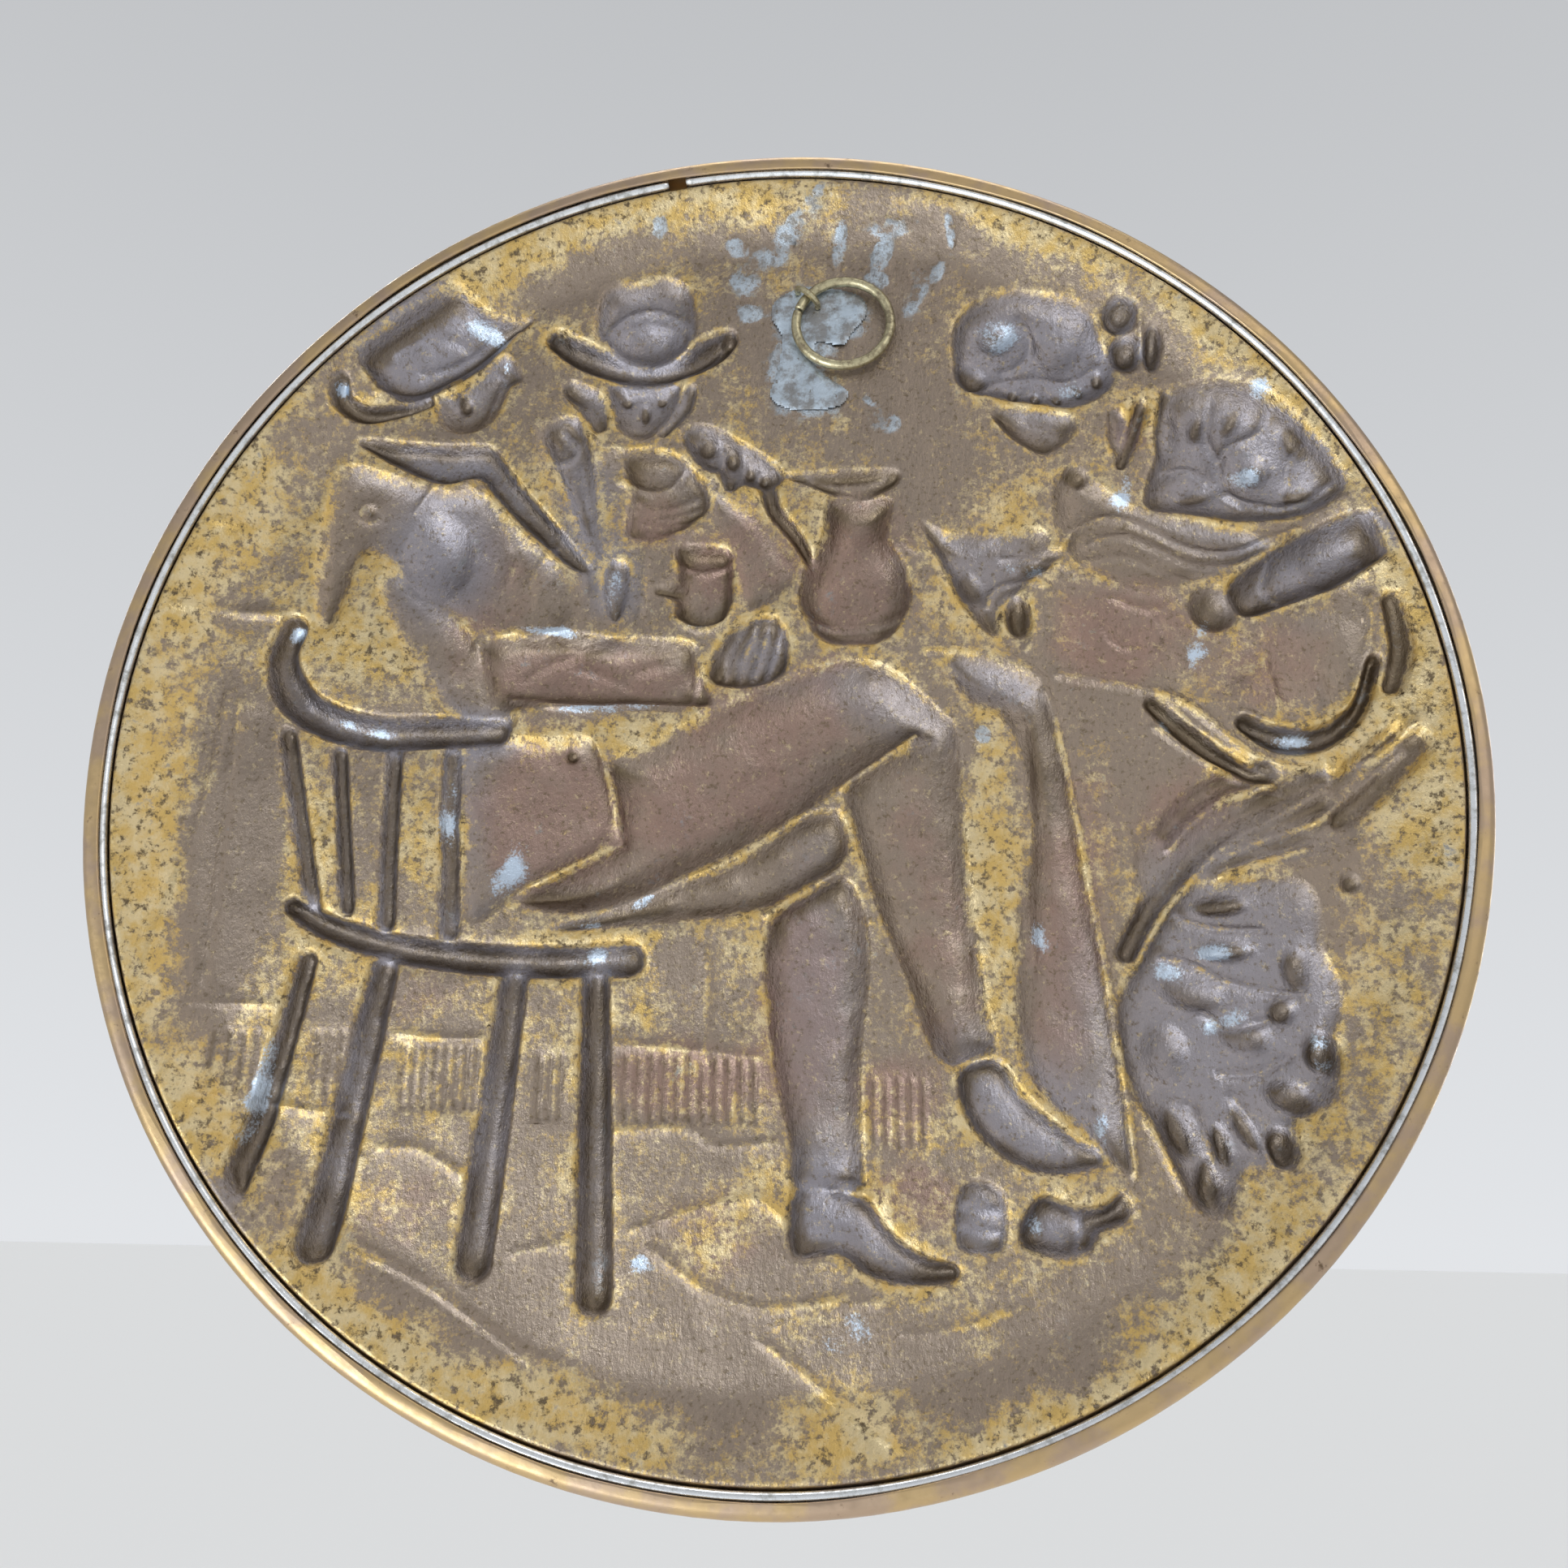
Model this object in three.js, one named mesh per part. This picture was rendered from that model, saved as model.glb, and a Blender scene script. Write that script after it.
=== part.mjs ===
// Round wall plaque of embossed brass: a tavern scene pressed into one dished sheet, whose edge is
// rolled over an open rim wire. A soldered lug on the back holds a split ring that swings on it.
//
// The plaque hangs upright, +Z up. The scene stands out toward -Y; +Y is the back, where the wall is.
// The scene is laid out in "back coordinates": u to the right and v up, in mm from the disc's centre,
// as seen from behind (u runs along -X). Depths are in mm, measured toward the front.
import * as THREE from 'three';

// ---------------------------------------------------------------- driving dimensions (mm)
const DIAMETER = 355;
const SHEET = 0.8;                     // thickness of the brass
const FIELD_DEPTH = 9.5;                // the field's back, below the plane of the hem's back
const FIELD_RADIUS = 150;              // the field is flat inside this radius
const DISH_RADIUS = 169;               // the dish's slope ends here, at the hem
const DISH_EDGE_DEPTH = 2;
const SEGMENTS = 80;                   // around the disc
const RELIEF_POINTS = 1350;            // corners that the pressed scene is drawn with
const SAMPLE_STEP = 1.5;               // spacing of the places where the relief is compared
const CREASE_ROUNDING = 0.7;           // softens the ridge where two hollows meet

const HEM_CENTRE = DIAMETER / 2 - 2.5; // radius of the middle of the outer roll
const HEM_OUTER = 2.5;                 // the roll's own outer radius
const HEM_LIP = 172.9;                 // radius where the folded lip ends
// [radius, depth] of the wire's seat between the dish and the roll, and of the crease behind it
// on the front.
const HEM_SEAT = [[170.2, 1.9], [171, 3.1], [172, 4.3]];
const HEM_CREASE = [[172, 5.1], [170.6, 4.3], [169.8, 2.95]];
const WIRE_RADIUS = 1.4;
const WIRE_CIRCLE = 172.6;             // radius of the rim wire's centre line
const WIRE_DEPTH = 2.5;
const WIRE_GAP_ANGLE = 100;            // degrees from +u, counter-clockwise seen from behind
const WIRE_GAP = 5;                    // between the two ends

const LUG_U = 7.3;                     // where the ring hangs, and the part's origin
const LUG_V = 135.2;
const LUG_WIRE = 0.9;                  // radius of the lug's wire
const LUG_ARCH = 2.3;                  // inner half-width of its loop
const RING_CIRCLE = 13.1;              // radius of the ring's centre line
const RING_WIRE = 1.35;
const RING_DIRECTION = 320;            // degrees: from the lug to the ring's centre
const SOLDER_HEIGHT = 0.7;
const CLEARANCE = 0.3;                 // between pieces that touch

const radians = THREE.MathUtils.degToRad;
const clamp = THREE.MathUtils.clamp;
const smoothstep = (x, low, high) => THREE.MathUtils.smoothstep(x, low, high);

// ---------------------------------------------------------------- materials
const brass = new THREE.MeshStandardMaterial({ color: 0x8a6a32, metalness: 1, roughness: 0.45 });
const brightWire = new THREE.MeshStandardMaterial({ color: 0xc9ced2, metalness: 1, roughness: 0.3 });
const dullBrass = new THREE.MeshStandardMaterial({ color: 0x9c8c5c, metalness: 1, roughness: 0.5 });
const solder = new THREE.MeshStandardMaterial({ color: 0xa9b4bf, metalness: 0.8, roughness: 0.55 });

// ---------------------------------------------------------------- how the relief is described
// A hollow is pressed from the back toward the front; where hollows overlap, the deeper one shows.
// A line is a narrow ridge that stands toward the back, or with a negative height a groove.
const hollows = [];
const lines = [];

// A smooth curve through points [u, v, ...]; every value is carried along the curve.
function smoothPath(points, closed = false, steps = 4) {
  const count = points.length;
  if (count < 3) return points;
  const at = (i) => (closed ? points[(i + count) % count] : points[clamp(i, 0, count - 1)]);
  const path = [];
  for (let i = 0; i < (closed ? count : count - 1); i++) {
    for (let s = 0; s < steps; s++) {
      const t = s / steps;
      path.push(at(i).map((p1, k) => {
        const [p0, p2, p3] = [at(i - 1)[k], at(i + 1)[k], at(i + 2)[k]];
        return p1 + 0.5 * t * (p2 - p0 + t * (2 * p0 - 5 * p1 + 4 * p2 - p3
          + t * (3 * (p1 - p2) + p3 - p0)));
      }));
    }
  }
  if (!closed) path.push(points[count - 1]);
  return path;
}

// Distance from (u, v) to a path, and the path's third value at the nearest place.
function nearest(path, u, v, closed = false) {
  let best = { distance: Infinity, width: 1 };
  for (let i = 0; i < path.length - (closed ? 0 : 1); i++) {
    const a = path[i];
    const b = path[(i + 1) % path.length];
    const [du, dv] = [b[0] - a[0], b[1] - a[1]];
    const t = clamp(((u - a[0]) * du + (v - a[1]) * dv) / (du * du + dv * dv), 0, 1);
    const width = a.length > 2 ? a[2] + t * (b[2] - a[2]) : 1;
    const distance = Math.hypot(u - a[0] - t * du, v - a[1] - t * dv);
    if (distance / width < best.distance / best.width) best = { distance, width };
  }
  return best;
}

function inside(outline, u, v) {
  let odd = false;
  for (let i = 0, j = outline.length - 1; i < outline.length; j = i++) {
    const [[ui, vi], [uj, vj]] = [outline[i], outline[j]];
    if ((vi > v) !== (vj > v) && u < ((uj - ui) * (v - vi)) / (vj - vi) + ui) odd = !odd;
  }
  return odd;
}

// The box that a shape lies in, so that places outside it are passed over.
function reach(path, margin) {
  const us = path.map((p) => p[0]);
  const vs = path.map((p) => p[1]);
  const [left, right] = [Math.min(...us) - margin, Math.max(...us) + margin];
  const [low, high] = [Math.min(...vs) - margin, Math.max(...vs) + margin];
  return (u, v) => u > left && u < right && v > low && v < high;
}

// A rounded trough along a path of [u, v, half-width]: an arm, a leg, a chair rail.
function limb(depth, points) {
  const path = smoothPath(points);
  const near = reach(path, Math.max(...path.map((p) => p[2])));
  hollows.push((u, v) => {
    if (!near(u, v)) return 0;
    const { distance, width } = nearest(path, u, v);
    const q = distance / width;
    return q < 1 ? depth * Math.pow(1 - q * q, 0.8) : 0;
  });
}

// A hollow inside a closed outline: its wall slopes over `edge` mm, then the floor swells gently.
function area(depth, edge, points) {
  const outline = smoothPath(points, true, 3);
  const near = reach(outline, 0);
  hollows.push((u, v) => {
    if (!near(u, v) || !inside(outline, u, v)) return 0;
    const { distance } = nearest(outline, u, v, true);
    const wall = Math.min(distance / edge, 1);
    const swell = 1 - Math.exp(-distance / (2 * edge));
    return depth * (0.7 * wall * (2 - wall) + 0.3 * swell);
  });
}

// A rounded bowl: centre, half-axes and the turn of the first axis in degrees.
function bowl(depth, u0, v0, a, b, turn = 0) {
  const [c, s] = [Math.cos(radians(turn)), Math.sin(radians(turn))];
  hollows.push((u, v) => {
    const along = ((u - u0) * c + (v - v0) * s) / a;
    const across = ((v - v0) * c - (u - u0) * s) / b;
    const q = along * along + across * across;
    return q < 1 ? depth * Math.pow(1 - q, 0.85) : 0;
  });
}

// A ridge of half-width `width` along a path.
function ridge(height, width, points) {
  const path = smoothPath(points.map(([u, v]) => [u, v]));
  const near = reach(path, width);
  lines.push((u, v) => {
    if (!near(u, v)) return 0;
    const q = nearest(path, u, v).distance / width;
    return q < 1 ? height * (1 - q * q) ** 2 : 0;
  });
}

// ---------------------------------------------------------------- the scene
function seatedFigure() {
  // hat with a turned-up tail behind, and the head below it in profile
  area(6.5, 6, [[-117, 119], [-111, 128], [-104, 134], [-97, 138.5], [-91, 138], [-85, 133], [-79, 130.5],
    [-71, 131], [-77, 124], [-84, 117], [-95, 110], [-105, 106], [-112, 110], [-118, 114]]);
  limb(3.5, [[-123, 111, 2], [-121, 104, 2.6], [-113, 102.5, 3], [-103, 105, 3]]);
  area(4.5, 6, [[-97, 110], [-84, 119], [-76, 118], [-73, 113], [-76, 106], [-80, 99], [-88, 95], [-97, 99]]);
  // collar and lapel, crisp at the lower edge
  area(4.8, 3, [[-118, 94], [-104, 93.5], [-90, 92.5], [-80, 92], [-74, 85], [-66, 75], [-56, 64], [-50, 55],
    [-56, 55], [-68, 66], [-78, 76], [-83, 82], [-92, 80], [-106, 86]]);
  // jacket back, shoulder, upper arm down to the elbow, forearm and cuff
  area(3.2, 6, [[-119, 87], [-105, 83], [-92, 78], [-80, 78], [-70, 66], [-58, 56], [-55, 40], [-66, 36],
    [-80, 38], [-100, 50], [-112, 60], [-118, 40], [-124, 40], [-126, 62], [-124, 78]]);
  bowl(6.5, -92.5, 60, 12.5, 15.8, 12);
  limb(4.2, [[-102, 50, 6], [-92, 36, 8], [-80, 20, 7], [-72, 12, 5]]);
  area(5.6, 6, [[-78, 33], [-62, 37], [-40, 35], [-22, 34], [-19, 26], [-16, 16], [-30, 14], [-60, 16],
    [-76, 14]]);
  ridge(1.2, 1.6, [[-66, 19], [-50, 16.5], [-36, 17], [-18, 15]]);
  ridge(0.9, 1.6, [[-68, 37.5], [-54, 33.5], [-42, 34.5]]);
  // hand resting on the knee
  area(5.5, 4, [[-18, 24], [-14, 34], [-8, 40], [0, 41], [4, 34], [3, 25], [-5, 21], [-13, 21]]);
  for (let finger = 0; finger < 3; finger++) {
    ridge(0.9, 1.3, [[-12 + 4.5 * finger, 24 + finger], [-8 + 4 * finger, 38]]);
  }
  // coat skirt hanging over the chair's seat
  area(2.6, 5, [[-82, 8], [-62, 7], [-46, 7], [-42, -4], [-39, -20], [-50, -27], [-62, -33], [-76, -42],
    [-80, -20]]);
  ridge(1.6, 1.5, [[-46, 6], [-42.5, -3], [-40, -12], [-38, -21]]);
  ridge(1.2, 1.4, [[-38, -21], [-48, -26], [-59, -32]]);
  // thigh and knee of the crossed leg, then the far thigh below it
  area(8, 11, [[-70, -38], [-48, -24], [-36, -2], [-22, 11], [-8, 19], [6, 25], [18, 29], [29, 27], [38, 20],
    [46, 11], [47, 4], [34, 3], [20, -5], [12, -11], [-4, -21], [-20, -30], [-44, -40]]);
  area(5, 5, [[-56, -44], [-30, -33], [-8, -25], [6, -15], [17, -12], [20, -24], [8, -33], [-4, -39],
    [-28, -42]]);
  // breeches hems, stockings and buckled shoes
  area(6, 7, [[19, -6], [30, 2], [44, 13], [48, 6], [49, -12], [51, -36], [54, -60], [56, -72], [46, -77],
    [40, -72], [35, -57], [28, -40], [22, -22]]);
  ridge(1.6, 1.6, [[18, -6.5], [28, 1], [37, 9]]);
  area(5.2, 4, [[47, -76], [57, -74], [62, -82], [70, -89], [80, -95], [80, -100], [68, -102], [56, -97],
    [48, -88]]);
  ridge(1.3, 1.5, [[47, -77], [53, -74.5], [60, -77]]);
  area(5.6, 6, [[0, -41], [18, -29], [25, -42], [25, -58], [23.5, -74], [24, -98], [24, -106], [17, -108],
    [7, -106], [6, -94], [3, -82], [0, -62]]);
  ridge(1.8, 1.8, [[0, -39.5], [8, -35], [18, -28]]);
  area(5.4, 4, [[8, -104], [24, -107], [30, -114], [38, -120], [46, -122], [46, -126], [37, -128],
    [26, -126], [18, -121], [7, -121]]);
  ridge(1.2, 1.4, [[17, -106], [21, -104], [25, -107]]);
}

function tubChair() {
  limb(5.2, [[-130, 38, 4], [-132.5, 30, 4.6], [-128, 19, 5.2], [-118, 12, 5], [-104, 8.5, 4.8],
    [-90, 8.8, 4.6], [-73, 9.5, 4.4]]);
  limb(4.6, [[-122, -38, 2.6], [-113, -43, 3.6], [-99, -47.5, 3.8], [-84, -50, 4], [-60, -52, 4.2],
    [-35, -51, 4.6]]);
  const spindles = [[-128.5, 8, -117, -38, 2.6], [-114, 3, -108, -38, 2.2], [-99.5, 3, -97.5, -42, 2.5],
    [-84, 3, -81, -44, 3]];
  for (const [uTop, vTop, uFoot, vFoot, width] of spindles) {
    limb(2.8, [[uTop, vTop, width], [uFoot, vFoot, width]]);
  }
  const legs = [[-117, -52, -127.5, -109, 3.4], [-97, -54, -107, -121, 4.6], [-63.5, -56, -69, -124, 4.4],
    [-43, -56, -39.5, -131, 4.3]];
  for (const [uTop, vTop, uFoot, vFoot, width] of legs) {
    limb(4.3, [[uTop, vTop, width * 0.85], [(uTop + uFoot) / 2, (vTop + vFoot) / 2, width],
      [uFoot, vFoot, width * 1.08]]);
  }
}

function middleFigure() {
  // hat: upturned brim, crown and the dark round of its band
  area(4.5, 5, [[-52, 124], [-52, 136], [-49, 142], [-40, 143], [-33, 145], [-26, 141], [-24, 133],
    [-25, 122], [-38, 118]]);
  bowl(6.6, -37.5, 126, 12, 8.5, 0);
  limb(5.6, [[-63, 125, 4], [-54, 119.5, 4.4], [-40, 115, 4.4], [-27, 116.5, 4.2], [-15, 122, 3.6]]);
  // face: calm, seen from the front
  area(5, 7, [[-49, 112], [-47, 99], [-40, 92], [-33, 94], [-27, 102], [-27, 111], [-38, 113]]);
  bowl(6.4, -38, 103, 2.4, 5, 8);
  // coat: the lapels, neckcloth and waistcoat between them
  area(4.2, 4, [[-66, 96], [-59, 101], [-54, 98], [-50, 84], [-48, 70], [-47, 57], [-53, 64], [-60, 80]]);
  area(5, 4, [[-44, 88], [-34, 90], [-28, 88], [-21, 80], [-19, 72], [-30, 66], [-42, 67], [-42, 78]]);
  for (let fold = 0; fold < 3; fold++) {
    ridge(0.8, 1.4, [[-38 + 2 * fold, 84 - 5 * fold], [-30 + 2 * fold, 80 - 4 * fold],
      [-24 + fold, 83 - 5 * fold]]);
  }
  area(2.4, 6, [[-18, 77], [-9, 70], [-2, 62], [4, 48], [-6, 42], [-12, 50], [-24, 62]]);
  // fist holding a clay pipe, whose stem slants down
  area(4.8, 4, [[-27, 95], [-21, 98], [-11, 93], [-1, 86], [1, 81], [-7, 77], [-14, 80], [-22, 87]]);
  bowl(5.4, -18.5, 90, 4, 4);
  area(3.4, 3, [[0, 82], [12, 83], [31, 83.5], [33, 80], [23, 74], [10, 78]]);
  limb(2.4, [[-2, 80, 2.2], [0, 71, 2], [6, 62, 1.8], [9, 53, 1.6]]);
  // beaker and the tankard with its handle
  area(2.6, 3, [[-51, 57], [-31, 58], [-32, 38], [-50, 38]]);
  bowl(4.4, -43.5, 48, 3.6, 8.6);
  area(6.2, 4, [[-28, 62], [-12, 61], [-11, 44], [-14, 39], [-20, 37.5], [-27, 41]]);
  ridge(1.3, 1.4, [[-27, 41], [-20, 38], [-12, 42]]);
  limb(2.4, [[-27, 54, 1.4], [-32, 50, 1.6], [-28, 45, 1.4]]);
}

function jug() {
  area(7.6, 7, [[13, 75], [12, 64], [7, 54], [6, 44], [12, 34], [21, 32], [30, 34], [36, 44], [35, 54],
    [30, 64], [31, 74], [22, 77]]);
  ridge(0.9, 1.6, [[9, 40], [21, 38.5], [34, 41]]);
}

function servingFigure() {
  // mob cap with a gathered edge, and a bow behind
  area(6.2, 7, [[47, 124], [50, 131], [58, 136], [68, 137], [78, 134], [85, 129], [88, 121], [92, 112],
    [88, 105], [80, 101], [71, 102], [60, 104], [51, 110]]);
  bowl(7.4, 61, 124, 8.5, 7.5);
  bowl(7, 76, 119, 9, 9.5);
  ridge(1, 1.8, [[53, 109], [64, 113], [76, 109], [88, 114]]);
  bowl(3.8, 93.5, 128, 5, 5.5, 20);
  bowl(4.4, 95, 117.5, 5.5, 6);
  bowl(3.4, 102, 118.5, 2.6, 6.5);
  // face turned down, in profile
  area(4.2, 6, [[58, 101], [60, 95], [66, 89], [72, 86], [78, 90], [81, 97], [76, 101], [67, 102]]);
  // neck ribbons
  limb(2.6, [[97, 98, 2], [95, 90, 1.8], [93, 84, 1.4]]);
  limb(2.2, [[104, 103, 1.6], [101, 92, 2.2], [99, 85, 1.8]]);
  // puffed sleeve with gathers, then the bare forearm
  area(5.6, 7, [[104, 103], [114, 107], [125, 106], [136, 100], [144, 91], [149, 80], [149, 73], [140, 67],
    [122, 66], [106, 69], [99, 77], [103, 90]]);
  bowl(6.6, 128, 82, 8, 7.5, 30);
  bowl(6, 112, 94, 5, 9, -20);
  ridge(1.5, 2, [[117, 103], [113, 90], [118, 78], [128, 72]]);
  ridge(1.2, 2, [[136, 97], [131, 92], [121, 92]]);
  ridge(1.2, 2, [[104, 80], [112, 76], [124, 72], [142, 72]]);
  limb(6.4, [[158, 60, 6.5], [146, 57, 8.5], [133, 51, 8], [123, 45, 6.5]]);
  bowl(4.4, 112, 42, 6, 7, 40);
  // bodice, near sleeve and the hands at work in the lap
  area(3.4, 7, [[72, 84], [88, 84], [98, 76], [112, 66], [124, 58], [112, 50], [98, 48], [84, 52], [74, 62],
    [70, 74]]);
  ridge(1.4, 1.6, [[95, 66], [108, 62], [120, 60], [130, 61]]);
  ridge(1.2, 1.6, [[84, 52], [98, 48], [110, 49], [120, 54]]);
  area(4.4, 5, [[40, 66], [48, 64], [58, 64], [70, 66], [72, 58], [66, 50], [60, 42], [58, 34], [50, 42],
    [45, 52]]);
  bowl(4.2, 66, 54, 7, 4.5, 20);
  bowl(3.6, 64, 40, 3.5, 8, 6);
  ridge(1.3, 1.4, [[86, 38], [89, 32], [95, 31]]);
  ridge(1.1, 1.4, [[88, 46], [96, 42], [103, 42]]);
}

function seatAndSkirts() {
  // round seat seen nearly from above: its rim is a crescent trough around a shallow disc
  bowl(2.4, 139, 27, 14, 15);
  limb(3.8, [[121, 10, 2.4], [131, 6, 3.4], [141, 8, 3.2], [149, 15, 2.4], [153, 27, 1.8]]);
  limb(3, [[158, 42, 2.6], [159.5, 30, 3], [157, 20, 2.6]]);
  ridge(1.3, 1.6, [[122, 12], [131, 9.5], [141, 11], [149, 20], [152.5, 32], [152, 44]]);
  ridge(1.5, 2, [[96, 19], [106, 16], [113, 10], [121, 3], [131, -1], [145, -1.5], [156, 5], [162, 10]]);
  ridge(1.4, 1.8, [[90, 19], [98, 11], [107, 3], [117, -4], [128, -7]]);
  limb(2.8, [[98, 15, 1.6], [106, 8, 2.6], [116, 2, 2.4], [124, -3, 1.4]]);
  // skirts gathered up to the seat
  const folds = [
    [[138, -9], [128, -14], [118, -19], [110, -25], [104, -31]],
    [[124, -8], [114, -13], [104, -20], [96, -29], [90, -40]],
    [[162, 4], [152, -3], [144, -9], [138, -15]],
  ];
  for (const fold of folds) {
    limb(2.6, fold.map(([u, v]) => [u - 2, v + 4, 3]));
    ridge(1.3, 1.6, fold);
  }
  limb(3, [[160, 4, 4.5], [150, -6, 5], [142, -14, 4]]);
  // cloth bundle on the floor beside the seat
  area(4.2, 6, [[101, -33], [118, -30], [132, -32], [135, -42], [136, -51], [139, -60], [138, -70],
    [136, -80], [128, -88], [123, -99], [113, -103], [107, -111], [101, -107], [96, -98], [90, -84],
    [86, -70], [87, -57], [93, -45]]);
  const creases = [
    [[103, -40], [112, -42], [122, -41]],
    [[104, -50], [112, -55], [122, -57]],
    [[100, -54], [107, -63], [117, -67], [124, -64]],
    [[112, -77], [121, -78], [128, -82]],
    [[94, -88], [97, -95], [99, -104]],
    [[102, -84], [105, -93], [108, -102]],
    [[110, -86], [116, -93], [122, -97]],
  ];
  for (const crease of creases) ridge(1.5, 1.7, crease);
  bowl(5.6, 132, -74, 5, 8, 10);
  bowl(5.2, 128, -49, 6, 7);
  bowl(5.4, 105, -105, 3.6, 6, -8);
}

function standingLeg() {
  // a stockinged leg seen between the two sitters, with its knee under the jug
  area(4.4, 6, [[45, 29], [58, 27.5], [70, 20], [73.5, 6], [77, -16], [80, -36], [83, -55], [86, -78],
    [88, -100], [81, -98], [71, -89], [62, -76], [60.5, -58], [62, -35], [64, -10], [61, 10], [50, 17]]);
  ridge(1.4, 1.4, [[70, 20], [73.5, 6], [77, -16], [80, -36], [83, -55], [86, -78], [88, -101]]);
  ridge(0.8, 1.8, [[65, 12], [66, -12], [65, -34], [66, -52]]);
}

function floorThings() {
  area(2.8, 2.5, [[47, -104], [57, -105.5], [57, -119], [46, -118.5]]);
  for (let band = 0; band < 2; band++) ridge(0.8, 1.1, [[47.5, -109 - 5 * band], [56.5, -110 - 5 * band]]);
  // a small jug lying on its side
  area(5.4, 4.5, [[61, -118], [61, -112], [66, -106], [74, -108], [80, -108], [85, -105], [87, -111],
    [80, -115], [77, -119], [69, -121]]);
  ridge(0.8, 1.4, [[73, -107], [75, -113], [74, -119]]);
}

function room() {
  // wall panelling at the left
  ridge(1, 2, [[-166, 43], [-150, 43], [-133, 42]]);
  ridge(0.9, 2.2, [[-158, 68], [-146, 67]]);
  ridge(0.8, 1.6, [[-146, 20], [-148, -10], [-153, -35], [-157, -62]]);
  ridge(0.8, 1.2, [[-142.5, 18], [-142.5, -58]]);
  limb(1.2, [[-137, 12, 5], [-137, -56, 5]]);
  ridge(0.9, 1.3, [[-152, -88], [-130, -87], [-104, -90]]);
  ridge(0.7, 1.2, [[-146, -63], [-125, -63]]);
  // a fringe of upright flutes along the wall, seen between the legs
  const bays = [[-140, -126, 4, -70], [-114, -104, 3, -70], [-91, -70, 8, -73], [-57, -49, 3, -75],
    [-36, -1, 11, -75], [25, 40, 5, -80]];
  for (const [from, to, count, top] of bays) {
    for (let flute = 0; flute < count; flute++) {
      const u = from + ((flute + 0.5) * (to - from)) / count;
      ridge(-1.1, 1.1, [[u, top], [u, top - 15]]);
    }
  }
  ridge(0.9, 1.4, [[-92, -70], [-80, -71], [-70, -71]]);
  ridge(0.9, 1.4, [[-36, -72], [-20, -73], [-2, -75]]);
  ridge(0.8, 1.6, [[-36, -93], [-18, -92], [-12, -96], [3, -95]]);
  ridge(0.8, 1.3, [[-15, -48], [-15, -76]]);
  // floorboards and the edge of a rug
  ridge(1.1, 1.5, [[-99, -121], [-82, -128], [-67, -137], [-53, -146]]);
  ridge(0.9, 1.5, [[-94, -98], [-84, -98], [-73, -104]]);
  ridge(0.8, 1.4, [[-31, -116], [-16, -111], [-2, -108], [5, -112]]);
  ridge(0.9, 1.6, [[-26, -120], [-13, -129], [2, -133], [20, -130]]);
  ridge(0.8, 1.5, [[0, -140], [12, -148], [24, -157], [35, -163]]);
  ridge(0.7, 1.5, [[4, -137], [16, -132], [30, -131]]);
  ridge(0.7, 1.5, [[34, -138], [48, -136], [62, -131]]);
  ridge(0.7, 1.4, [[-60, -122], [-46, -119]]);
}

seatedFigure();
tubChair();
middleFigure();
jug();
servingFigure();
seatAndSkirts();
standingLeg();
floorThings();
room();

// ---------------------------------------------------------------- depth of the sheet's back
function dishDepth(r) {
  const t = smoothstep(r, FIELD_RADIUS, DISH_RADIUS + 4);
  return FIELD_DEPTH - (FIELD_DEPTH - DISH_EDGE_DEPTH) * t / smoothstep(DISH_RADIUS, FIELD_RADIUS,
    DISH_RADIUS + 4);
}

// The larger of two hollows, with their common edge rounded.
function deeper(a, b) {
  const rounding = Math.min(CREASE_ROUNDING, a, b);
  const overlap = Math.max(rounding - Math.abs(a - b), 0);
  return Math.max(a, b) + (rounding > 0 ? (overlap * overlap) / (4 * rounding) : 0);
}

function sheetDepth(u, v) {
  const r = Math.hypot(u, v);
  let pressed = 0;
  for (const hollow of hollows) pressed = deeper(pressed, hollow(u, v));
  for (const line of lines) pressed -= line(u, v);
  const fade = 1 - smoothstep(r, DISH_RADIUS - 5, DISH_RADIUS - 0.5);
  return dishDepth(r) + pressed * fade;
}

// ---------------------------------------------------------------- triangulating the relief
// Places where the relief is compared with its triangles: a grid, shifted a little from row to row
// so that no four places lie on one circle.
function samplePlaces() {
  const places = [];
  const limit = (DISH_RADIUS - 1.2) * Math.cos(Math.PI / SEGMENTS);
  const rows = Math.floor(DISH_RADIUS / SAMPLE_STEP);
  for (let j = -rows; j <= rows; j++) {
    for (let i = -rows; i <= rows; i++) {
      const u = SAMPLE_STEP * (i + 0.2 * Math.sin(7 * i + 3 * j));
      const v = SAMPLE_STEP * (j + 0.2 * Math.cos(5 * i - 4 * j));
      if (Math.hypot(u, v) < limit) places.push([u, v, sheetDepth(u, v)]);
    }
  }
  return places;
}

function circleThrough(a, b, c) {
  const [bu, bv, cu, cv] = [b[0] - a[0], b[1] - a[1], c[0] - a[0], c[1] - a[1]];
  const d = 2 * (bu * cv - bv * cu);
  const u = (cv * (bu * bu + bv * bv) - bv * (cu * cu + cv * cv)) / d;
  const v = (bu * (cu * cu + cv * cv) - cu * (bu * bu + bv * bv)) / d;
  return { u: a[0] + u, v: a[1] + v, squared: u * u + v * v };
}

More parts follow.
